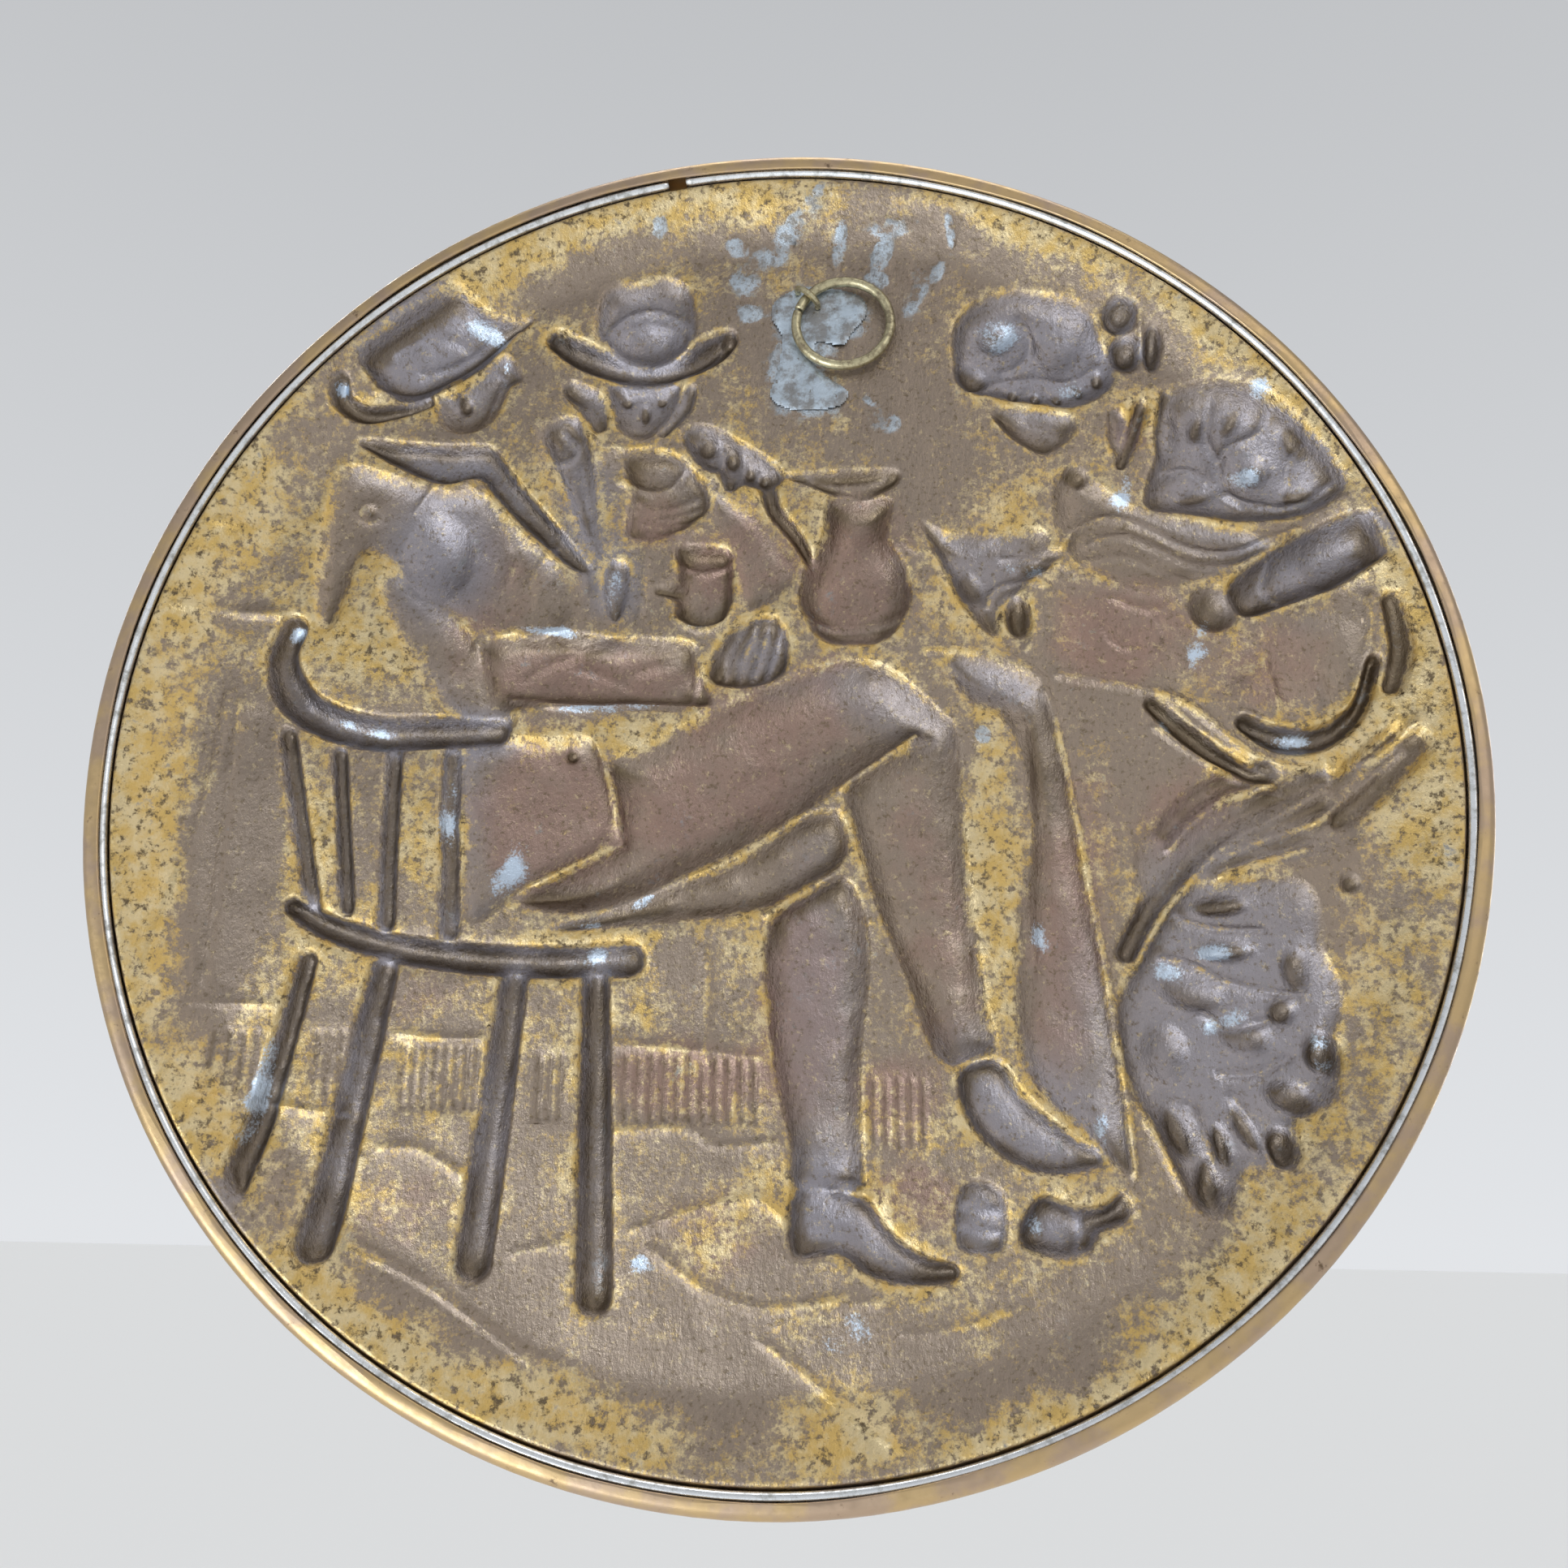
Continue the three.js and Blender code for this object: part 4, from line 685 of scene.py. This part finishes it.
ridge_tops = blur(depth_map, 1.1) - blur(depth_map, 0.35)
high_places = blur(depth_map, 2.2) - blur(depth_map, 0.6)
broad_places = blur(depth_map, 7) - blur(depth_map, 1.5)
hollow = smoothstep(pressed, 0.8, 3)
mottle = 0.2 * grain(5, 11) + 0.12 * grain(2, 12)
gold_map = (0.24 + tint(GOLD) * (1 - 0.75 * hollow) + 0.5 * mottle
            + 0.9 * np.clip(ridge_tops, -0.2, 0.5) * (0.8 + mottle) + 0.1 * np.clip(broad_places, -1, 1.2)
            - 0.3 * hollow)
violet_map = np.clip(tint(VIOLET), 0, 1) * smoothstep(pressed, 0.3, 1.6)
red_map = np.clip(tint(RED), 0, 1)
crevice_map = np.clip(-1.4 * ridge_tops - 0.25 * high_places, 0, 1)
solder_map = spots(SOLDER_RUNS, 2.0) * (0.72 + 0.25 * grain(1.3, 21)) * smoothstep(173 - GRID_R, 0, 4)
# mask of the blue-grey patches: partly real deposits, partly painted reflections of cool light
deposit_and_sheen_map = spots(DEPOSIT_AND_SHEEN, 1.3) * (0.6 + 0.3 * grain(1.6, 22))
depth_map -= 0.28 * smoothstep(solder_map, 0.35, 0.7)


# ---- building meshes
def to_part(u, v, depth):
    """Back coordinates in mm to the frame, in metres."""
    return np.stack([(LUG_U - u) * MM, (FIELD_DEPTH - depth) * MM, (v - LUG_V) * MM], -1)


def mesh_from(name, points, faces):
    """A smooth mesh whose faces all have the same number of corners."""
    mesh = bpy.data.meshes.new(name)
    mesh.vertices.add(len(points))
    mesh.vertices.foreach_set("co", points.astype(np.float32).ravel())
    size = faces.shape[1]
    mesh.loops.add(faces.size)
    mesh.loops.foreach_set("vertex_index", faces.astype(np.int32).ravel())
    mesh.polygons.add(len(faces))
    mesh.polygons.foreach_set("loop_start", np.arange(0, faces.size, size, dtype=np.int32))
    mesh.update(calc_edges=True)
    mesh.validate()
    mesh.shade_smooth()
    return mesh


def add_piece(name, mesh, body, node):
    """A piece of the visual model, in place of a CAD node."""
    piece = bpy.data.objects.new(name, mesh)
    bpy.context.scene.collection.objects.link(piece)
    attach(piece, body)
    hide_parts(node)
    return piece


def disc_grid(cells):
    """A square grid drawn out to a disc: its places, its quads and the walk round its edge."""
    a, b = np.meshgrid(np.linspace(-1, 1, cells + 1), np.linspace(-1, 1, cells + 1))
    wide = np.abs(a) > np.abs(b)
    r = np.where(wide, a, b)
    safe = np.where(r == 0, 1, r)
    angle = np.where(wide, math.pi / 4 * b / safe, math.pi / 2 - math.pi / 4 * a / safe)
    u, v = DISH_RADIUS * r * np.cos(angle), DISH_RADIUS * r * np.sin(angle)
    index = np.arange((cells + 1) ** 2).reshape(cells + 1, cells + 1)
    quads = np.stack([index[:-1, :-1], index[:-1, 1:], index[1:, 1:], index[1:, :-1]], -1).reshape(-1, 4)
    edge = np.concatenate([index[0, :-1], index[:-1, -1], index[-1, :0:-1], index[:0:-1, 0]])
    return u.ravel(), v.ravel(), quads, edge


def arc(centre, radius, start, end, steps):
    """Points of a section along an arc, with its angles in degrees."""
    angle = np.radians(np.linspace(start, end, steps + 1))
    return np.stack([centre[0] + radius * np.cos(angle), centre[1] - radius * np.sin(angle)], -1)


def hem_section():
    """[radius, depth] from the dish's edge on the back, round the roll and its lip, to the front."""
    roll = (HEM_CENTRE, HEM_OUTER)
    return np.vstack([
        [[169.6, 1.85], [170.1, 1.85], [170.5, 2.2], [170.9, 3], [171.4, 3.8], [172.1, 4.2], [173.4, 4.2]],
        arc(roll, HEM_OUTER - SHEET, -90, 90, 10),
        [[174, SHEET], [HEM_LIP + 0.2, SHEET], [HEM_LIP, SHEET * 0.8], [HEM_LIP, SHEET * 0.3],
         [HEM_LIP + 0.3, 0.02], [174, 0]],
        arc(roll, HEM_OUTER, 90, -90, 16),
        [[173, 5.02], [172, 5.05], [171.2, 4.9], [170.6, 4.3], [170.2, 3.4], [169.8, 2.95], [169.4, 2.8]],
    ])


def sheet_mesh():
    """The whole sheet as one closed skin: embossed back, hem and front."""
    u, v, quads, edge = disc_grid(SHEET_CELLS)
    back = sample(depth_map, u, v)
    on_edge = np.hypot(u, v) > DISH_RADIUS - 0.01
    back[on_edge] = DISH_EDGE_DEPTH
    points = [to_part(u, v, back), to_part(u, v, back + SHEET)]
    count = len(u)
    faces = [quads, quads[:, ::-1] + count]
    around = np.arctan2(v[edge], u[edge])
    rings = [edge]
    total = 2 * count
    # the hem is hammered round by hand, so its lip and its roll waver
    wave = 0.18 * np.sin(3 * around + 1) + 0.12 * np.sin(7 * around) + 0.08 * np.sin(17 * around + 2)
    for radius, depth in hem_section():
        lip = math.exp(-((radius - HEM_LIP) / 0.8) ** 2) * (depth < 1.2)
        roll = radius > GRID_REACH
        r = radius + wave * lip * 1.6 + wave * 0.5 * roll - 0.12 * roll
        points.append(to_part(r * np.cos(around), r * np.sin(around), np.full(len(edge), depth)))
        rings.append(total + np.arange(len(edge)))
        total += len(edge)
    rings.append(edge + count)
    for inner, outer in zip(rings[:-1], rings[1:]):
        faces.append(np.stack([inner, outer, np.roll(outer, -1), np.roll(inner, -1)], -1))
    return mesh_from("embossed_sheet", np.vstack(points), np.vstack(faces))


def thin_out(piece, triangles):
    """Collapses the flattest places until the mesh has about that many triangles."""
    now = sum(len(polygon.vertices) - 2 for polygon in piece.data.polygons)
    thinner = piece.modifiers.new("thin_out", "DECIMATE")
    thinner.ratio = min(1, triangles / now)
    graph = bpy.context.evaluated_depsgraph_get()
    thinned = bpy.data.meshes.new_from_object(piece.evaluated_get(graph))
    piece.modifiers.clear()
    old = piece.data
    piece.data = thinned
    bpy.data.meshes.remove(old)


def set_attribute(mesh, name, values):
    """A value at each vertex, for the materials."""
    attribute = mesh.attributes.new(name, "FLOAT", "POINT")
    attribute.data.foreach_set("value", values.astype(np.float32))


def tube_mesh(name, centres, across, out, radius, sides):
    """A round bar: centres with, at each, two directions across it; its ends are closed."""
    angle = np.linspace(0, 2 * math.pi, sides, endpoint=False)[None, :, None]
    rim = np.cos(angle) * across[:, None, :] + np.sin(angle) * out[:, None, :]
    points = (centres[:, None, :] + radius * rim).reshape(-1, 3)
    rows = len(centres)
    i = np.arange(rows - 1)[:, None] * sides
    k = np.arange(sides)[None, :]
    n = (k + 1) % sides
    faces = np.stack([i + k, i + n, i + sides + n, i + sides + k], -1).reshape(-1, 4)
    caps = []
    for row, order in ((0, -1), (rows - 1, 1)):
        middle = len(points)
        points = np.vstack([points, centres[row]])
        rim = (row * sides + np.arange(sides))[::order]
        caps.append(np.stack([rim, np.roll(rim, -1), np.full(sides, middle)], -1))
    mesh = bpy.data.meshes.new(name)
    mesh.from_pydata(points.tolist(), [], faces.tolist() + np.vstack(caps).tolist())
    mesh.update()
    mesh.shade_smooth()
    return mesh


def arc_tube(name, centre, circle, depth, start, end, steps, radius, sides):
    """A bar bent to an arc in one depth."""
    angle = np.linspace(start, end, steps)
    u, v = centre[0] + circle * np.cos(angle), centre[1] + circle * np.sin(angle)
    centres = to_part(u, v, np.full(steps, depth))
    away = np.stack([-np.cos(angle), np.zeros(steps), np.sin(angle)], -1)
    out = np.tile([0.0, 1.0, 0.0], (steps, 1))
    return tube_mesh(name, centres, away, out, radius * MM, sides)


# ---- materials
class Nodes:
    """Short names for building a node material."""

    def __init__(self, name):
        self.material = bpy.data.materials.new(name)
        self.material.use_nodes = True
        self.tree = self.material.node_tree
        self.shader = self.tree.nodes["Principled BSDF"]

    def add(self, kind, **settings):
        node = self.tree.nodes.new(kind)
        for key, value in settings.items():
            if key in node.inputs:
                node.inputs[key].default_value = value
            else:
                setattr(node, key, value)
        return node

    def link(self, source, target):
        self.tree.links.new(source, target)

    def give(self, value, socket):
        """Sets a socket to a number or a colour, or links another socket to it."""
        if isinstance(value, (int, float)):
            socket.default_value = value
        elif isinstance(value, tuple):
            socket.default_value = (*value, 1)
        else:
            self.link(value, socket)

    def attribute(self, name):
        return self.add("ShaderNodeAttribute", attribute_name=name).outputs["Fac"]

    def place(self):
        return self.add("ShaderNodeTexCoord").outputs["Object"]

    def noise(self, scale, detail=4.0, roughness=0.6):
        node = self.add("ShaderNodeTexNoise", Scale=scale, Detail=detail, Roughness=roughness)
        self.link(self.place(), node.inputs["Vector"])
        return node.outputs["Fac"]

    def streaks(self, scale, stretch):
        """Noise drawn out along a slant, like the marks of rubbing."""
        turn = self.add("ShaderNodeMapping")
        turn.inputs["Rotation"].default_value = (0, 0.6, 0)
        turn.inputs["Scale"].default_value = (1, 1, 1 / stretch)
        self.link(self.place(), turn.inputs["Vector"])
        node = self.add("ShaderNodeTexNoise", Scale=scale, Detail=6.0, Roughness=0.7)
        self.link(turn.outputs["Vector"], node.inputs["Vector"])
        return node.outputs["Fac"]

    def scaled(self, value, gain):
        """A noise value with its middle at zero, times a gain."""
        return self.maths("MULTIPLY", self.maths("SUBTRACT", value, 0.5), gain)

    def maths(self, operation, a, b):
        node = self.add("ShaderNodeMath", operation=operation)
        for socket, value in zip(node.inputs, (a, b)):
            self.give(value, socket)
        return node.outputs[0]

    def ramp(self, value, low, high, to_low=0.0, to_high=1.0):
        node = self.add("ShaderNodeMapRange", interpolation_type="SMOOTHSTEP")
        self.link(value, node.inputs["Value"])
        for name, number in (("From Min", low), ("From Max", high), ("To Min", to_low), ("To Max", to_high)):
            node.inputs[name].default_value = number
        return node.outputs["Result"]

    def mix(self, factor, a, b):
        node = self.add("ShaderNodeMix", data_type="RGBA")
        self.link(factor, node.inputs["Factor"])
        self.give(a, node.inputs[6])
        self.give(b, node.inputs[7])
        return node.outputs[2]

    def bump(self, height, strength, distance, below=None):
        node = self.add("ShaderNodeBump", Strength=strength, Distance=distance)
        self.link(height, node.inputs["Height"])
        if below:
            self.link(below, node.inputs["Normal"])
        return node.outputs["Normal"]

    def finish(self, **sockets):
        for key, value in sockets.items():
            self.give(value, self.shader.inputs[key.replace("_", " ").title()])
        return self.material


BRASS = (0.56, 0.385, 0.135)
BRASS_PALE = (0.62, 0.50, 0.29)
OLIVE = (0.130, 0.095, 0.055)
BROWN = (0.270, 0.215, 0.170)
COPPER_BROWN = (0.285, 0.195, 0.158)
VIOLET_GREY = (0.275, 0.258, 0.280)
SOLDER_GREY = (0.46, 0.53, 0.60)
SOLDER_DULL = (0.25, 0.25, 0.25)
# blue-grey of those patches, partly a deposit's own colour and partly a painted reflection of the cool lamp
DEPOSIT_AND_SHEEN_BLUE = (0.50, 0.58, 0.68)
ANTIQUED = (0.20, 0.125, 0.05)
POLISHED = (0.66, 0.45, 0.17)


def back_material():
    n = Nodes("aged_brass_back")
    fine = n.noise(1300, 4, 0.7)
    speck = n.noise(420, 6, 0.72)
    patch = n.noise(90, 5, 0.6)
    scatter = n.maths("ADD", n.scaled(speck, 1.9), n.scaled(fine, 1.0))
    gold = n.maths("ADD", n.attribute("gold"), scatter)
    gold = n.maths("ADD", gold, n.scaled(patch, 0.9))
    coppery = n.ramp(n.maths("ADD", n.attribute("red"), n.scaled(patch, 1.6)), 0.1, 0.9)
    patina = n.mix(coppery, BROWN, COPPER_BROWN)
    patina = n.mix(n.attribute("violet"), patina, VIOLET_GREY)
    patina = n.mix(n.ramp(n.noise(700, 5, 0.7), 0.52, 0.68, 0.0, 0.7), patina, OLIVE)
    patina = n.mix(n.ramp(n.noise(520, 5, 0.75), 0.56, 0.72, 0.0, 0.6), patina, BRASS_PALE)
    patina = n.mix(n.ramp(n.attribute("crevice"), 0.1, 0.7, 0.0, 0.75), patina, OLIVE)
    brass = n.mix(n.ramp(n.noise(150, 5, 0.65), 0.38, 0.62), BRASS, BRASS_PALE)
    brass = n.mix(n.ramp(speck, 0.5, 0.36), brass, OLIVE)
    colour = n.mix(n.ramp(gold, 0.22, 0.8), patina, brass)
    # pale blue-grey patches laid over the colour: partly deposits, partly painted reflections of cool light
    deposit_and_sheen = n.ramp(n.maths("ADD", n.attribute("deposit_and_sheen"), n.scaled(fine, 1.6)), 0.35, 0.85)
    colour = n.mix(deposit_and_sheen, colour, DEPOSIT_AND_SHEEN_BLUE)
    solder = n.maths("ADD", n.attribute("solder"), n.scaled(patch, 1.8))
    solder = n.ramp(n.maths("ADD", solder, n.scaled(speck, 2.2)), 0.3, 0.75, 0.0, 0.9)
    grey = n.mix(n.ramp(speck, 0.45, 0.62), SOLDER_GREY, SOLDER_DULL)
    colour = n.mix(solder, colour, grey)
    rough = n.ramp(n.noise(160, 5, 0.7), 0.3, 0.7, 0.30, 0.50)
    normal = n.bump(n.streaks(210, 3.0), 0.55, 0.0009)
    normal = n.bump(n.noise(900, 4, 0.7), 0.5, 0.0004, normal)
    return n.finish(base_color=colour, metallic=0.92, roughness=rough, normal=normal)


def front_material():
    n = Nodes("antiqued_brass_front")
    speck = n.noise(300, 6, 0.7)
    worn = n.maths("ADD", n.attribute("proud"), n.scaled(speck, 0.5))
    colour = n.mix(n.ramp(worn, 0.25, 0.75), ANTIQUED, POLISHED)
    rough = n.ramp(n.noise(180, 5, 0.7), 0.3, 0.7, 0.26, 0.42)
    normal = n.bump(n.noise(200, 5, 0.7), 0.25, 0.0005)
    return n.finish(base_color=colour, metallic=1.0, roughness=rough, normal=normal)


def hem_material():
    n = Nodes("handled_brass_hem")
    speck = n.noise(220, 6, 0.7)
    colour = n.mix(n.ramp(n.noise(70, 4), 0.4, 0.62), (0.50, 0.36, 0.19), (0.42, 0.31, 0.22))
    colour = n.mix(n.ramp(speck, 0.6, 0.72), colour, (0.16, 0.11, 0.07))
    rough = n.ramp(speck, 0.3, 0.7, 0.3, 0.48)
    return n.finish(base_color=colour, metallic=1.0, roughness=rough, normal=n.bump(speck, 0.2, 0.0004))


def wire_material():
    n = Nodes("bright_rim_wire")
    streak = n.noise(300, 5, 0.7)
    colour = n.mix(n.ramp(streak, 0.45, 0.7), (0.78, 0.80, 0.82), (0.38, 0.38, 0.36))
    return n.finish(base_color=colour, metallic=1.0, roughness=n.ramp(streak, 0.3, 0.7, 0.18, 0.42),
                    normal=n.bump(streak, 0.2, 0.0003))


def ring_material():
    n = Nodes("dull_brass_ring")
    speck = n.noise(420, 5, 0.7)
    colour = n.mix(n.ramp(speck, 0.4, 0.65), (0.52, 0.47, 0.30), (0.24, 0.20, 0.13))
    return n.finish(base_color=colour, metallic=0.95, roughness=n.ramp(speck, 0.3, 0.7, 0.3, 0.5),
                    normal=n.bump(speck, 0.25, 0.0003))


def solder_material():
    n = Nodes("grey_solder")
    speck = n.noise(380, 6, 0.75)
    colour = n.mix(n.ramp(n.noise(170, 5, 0.7), 0.42, 0.62), SOLDER_GREY, SOLDER_DULL)
    colour = n.mix(n.ramp(speck, 0.6, 0.72), colour, OLIVE)
    return n.finish(base_color=colour, metallic=0.85, roughness=n.ramp(speck, 0.3, 0.7, 0.32, 0.6),
                    normal=n.bump(n.noise(260, 5, 0.7), 0.6, 0.0006))


# ---- the pieces
SHEET_MASKS = {"gold": gold_map, "violet": violet_map, "red": red_map, "crevice": crevice_map,
               "solder": solder_map, "deposit_and_sheen": deposit_and_sheen_map}


def vectors(items, name):
    """A vector property of all of a mesh's vertices or polygons, one in each row."""
    values = np.empty(len(items) * 3, np.float32)
    items.foreach_get(name, values)
    return values.reshape(-1, 3)


def build_sheet():
    sheet = add_piece("brass_relief", sheet_mesh(), "plaque", "embossed_brass_sheet")
    thin_out(sheet, SHEET_TRIANGLES)
    mesh = sheet.data
    mesh.shade_smooth()
    place = vectors(mesh.vertices, "co").astype(float) / MM
    u, v = LUG_U - place[:, 0], place[:, 2] + LUG_V
    for name, mask in SHEET_MASKS.items():
        set_attribute(mesh, name, sample(mask, u, v))
    proud = 0.45 - 0.9 * sample(high_places, u, v) - 0.25 * sample(broad_places, u, v)
    set_attribute(mesh, "proud", proud)
    for material in (back_material(), front_material(), hem_material()):
        mesh.materials.append(material)
    centre = vectors(mesh.polygons, "center") / MM
    facing_back = vectors(mesh.polygons, "normal")[:, 1] > 0
    on_hem = np.hypot(LUG_U - centre[:, 0], centre[:, 2] + LUG_V) > HEM_START
    slot = np.where(on_hem, 2, np.where(facing_back, 0, 1))
    mesh.polygons.foreach_set("material_index", slot.astype(np.int32))


def build_wire():
    half_gap = WIRE_GAP / 2 / WIRE_CIRCLE
    start = math.radians(WIRE_GAP_ANGLE) + half_gap
    end = start + 2 * math.pi - 2 * half_gap
    mesh = arc_tube("wire", (0, 0), WIRE_CIRCLE, WIRE_DEPTH, start, end, WIRE_STEPS, WIRE_RADIUS, WIRE_SIDES)
    add_piece("tinned_rim_wire", mesh, "plaque", "rim_wire")
    mesh.materials.append(wire_material())


def build_ring():
    mesh = arc_tube("ring", RING_CENTRE, RING_CIRCLE, RING_DEPTH, RING_SPLIT + HALF_SPLIT,
                    RING_SPLIT + 2 * math.pi - HALF_SPLIT, RING_STEPS, RING_WIRE, RING_SIDES)
    add_piece("split_ring", mesh, "ring", "hanging_ring")
    mesh.materials.append(ring_material())


def build_lug():
    """Gives the CAD lug its finish."""
    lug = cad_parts["ring_lug"]
    lug.data.materials.clear()
    lug.data.materials.append(ring_material())


def build_solder():
    """The run of solder that holds the lug, lumpy on top and flat beneath."""
    outline = smooth_path([[-3, 106], [1, 102], [9, 101], [17, 102.5], [19, 107], [14, 111], [10, 115],
                           [10, 122], [17, 121], [20, 125], [24, 131], [22, 137], [12, 140], [5, 140],
                           [-2, 136], [-3, 130], [0, 124], [-1, 114]], closed=True, steps=6)
    us, vs = (np.arange(outline[:, axis].min(), outline[:, axis].max() + SOLDER_STEP, SOLDER_STEP)
              for axis in (0, 1))
    u, v = np.meshgrid(us, vs)
    distance, _ = nearest(outline, u, v, closed=True)
    within = inside(outline, u, v)
    lumps = 0.16 * sample(grain(2.2, 31), u, v) + 0.06 * sample(grain(0.8, 32), u, v)
    rise = np.where(within, np.minimum(distance / 1.8, 1), 0)
    top = SOLDER_HEIGHT * np.clip(rise * (2 - rise) * 0.72 + lumps * rise, 0, 1)
    index = np.arange(u.size).reshape(u.shape)
    keep = within[:-1, :-1] & within[1:, :-1] & within[:-1, 1:] & within[1:, 1:]
    quads = np.stack([index[:-1, :-1], index[:-1, 1:], index[1:, 1:], index[1:, :-1]], -1)[keep]
    base = FIELD_DEPTH - CLEARANCE
    points = np.vstack([to_part(u.ravel(), v.ravel(), base - top.ravel()),
                        to_part(u.ravel(), v.ravel(), np.full(u.size, base))])
    mesh = mesh_from("solder", points, np.vstack([quads, quads[:, ::-1] + u.size]))
    add_piece("solder_run", mesh, "plaque", "solder_patch")
    mesh.materials.append(solder_material())


# ---- stage, light and camera
FLOOR_BELOW = 1.0
FLOOR_HALF = 80.0


def build_stage():
    bottom = CAD_BOX[0][2] - FLOOR_BELOW
    corners = [(x * FLOOR_HALF, y * FLOOR_HALF, bottom) for x, y in ((-1, -1), (1, -1), (1, 1), (-1, 1))]
    mesh = bpy.data.meshes.new("floor")
    mesh.from_pydata(corners, [], [(0, 1, 2, 3)])
    floor = bpy.data.objects.new("floor", mesh)
    bpy.context.scene.collection.objects.link(floor)
    n = Nodes("pale_floor")
    mesh.materials.append(n.finish(base_color=(0.86, 0.86, 0.85), roughness=0.8))


def add_light(name, place, size, power, colour):
    """A soft box at a place given from the plaque's centre, turned to it."""
    lamp = bpy.data.lights.new(name, "AREA")
    lamp.shape = "RECTANGLE"
    lamp.size, lamp.size_y = size
    lamp.energy = power
    lamp.color = colour
    light = bpy.data.objects.new(name, lamp)
    light.location = CENTRE + Vector(place)
    light.rotation_euler = (CENTRE - light.location).to_track_quat("-Z", "Y").to_euler()
    light.visible_camera = False
    bpy.context.scene.collection.objects.link(light)


def build_lights():
    add_light("back_key", (0.75, 1.0, -0.62), (0.9, 0.7), 11, (0.88, 0.94, 1.0))
    add_light("back_fill", (-0.9, 1.3, 0.9), (1.0, 1.0), 4, (1.0, 0.96, 0.9))
    add_light("front_key", (0.9, -1.4, 1.2), (1.2, 1.0), 20, (1.0, 0.97, 0.93))
    add_light("front_fill", (-1.3, -1.2, 0.3), (0.8, 1.4), 8, (0.93, 0.96, 1.0))
    sun = bpy.data.objects.new("overhead", bpy.data.lights.new("overhead", "SUN"))
    sun.data.energy = 0.9
    sun.data.angle = math.radians(40)
    bpy.context.scene.collection.objects.link(sun)


def build_world():
    """A pale sky, brightest at the horizon."""
    world = bpy.data.worlds.new("studio")
    bpy.context.scene.world = world
    world.use_nodes = True
    tree = world.node_tree
    background = tree.nodes["Background"]
    coordinate = tree.nodes.new("ShaderNodeTexCoord")
    split = tree.nodes.new("ShaderNodeSeparateXYZ")
    ramp = tree.nodes.new("ShaderNodeMapRange")
    for name, number in (("From Min", 0.0), ("From Max", 0.9), ("To Min", 0.85), ("To Max", 0.5)):
        ramp.inputs[name].default_value = number
    tree.links.new(coordinate.outputs["Generated"], split.inputs[0])
    tree.links.new(split.outputs["Z"], ramp.inputs["Value"])
    tree.links.new(ramp.outputs["Result"], background.inputs["Strength"])
    background.inputs["Color"].default_value = (0.90, 0.92, 0.95, 1)


CAMERA_LENS = 36.06
CAMERA_FROM_RIM = Vector((-0.170, 2.133, -0.655))     # in radii of the plaque
CAMERA_FORWARD = Vector((0.067, -0.959, 0.276)).normalized()
CAMERA_RIGHT = Vector((-0.998, -0.064, 0.019))


def build_camera():
    lens = bpy.data.cameras.new("camera")
    lens.sensor_width = 36
    lens.lens = CAMERA_LENS
    camera = bpy.data.objects.new("camera", lens)
    bpy.context.scene.collection.objects.link(camera)
    right = (CAMERA_RIGHT - CAMERA_FORWARD * CAMERA_RIGHT.dot(CAMERA_FORWARD)).normalized()
    up = right.cross(CAMERA_FORWARD)
    turn = Matrix((right, up, -CAMERA_FORWARD)).transposed()
    rim_middle = Vector((CENTRE.x, (FIELD_DEPTH - HEM_OUTER) * MM, CENTRE.z))
    camera.matrix_world = Matrix.Translation(rim_middle + RADIUS * CAMERA_FROM_RIM) @ turn.to_4x4()
    bpy.context.scene.camera = camera


build_camera()
build_sheet()
build_wire()
build_ring()
build_lug()
build_solder()
build_stage()
build_lights()
build_world()
bpy.context.scene.view_settings.view_transform = "Standard"
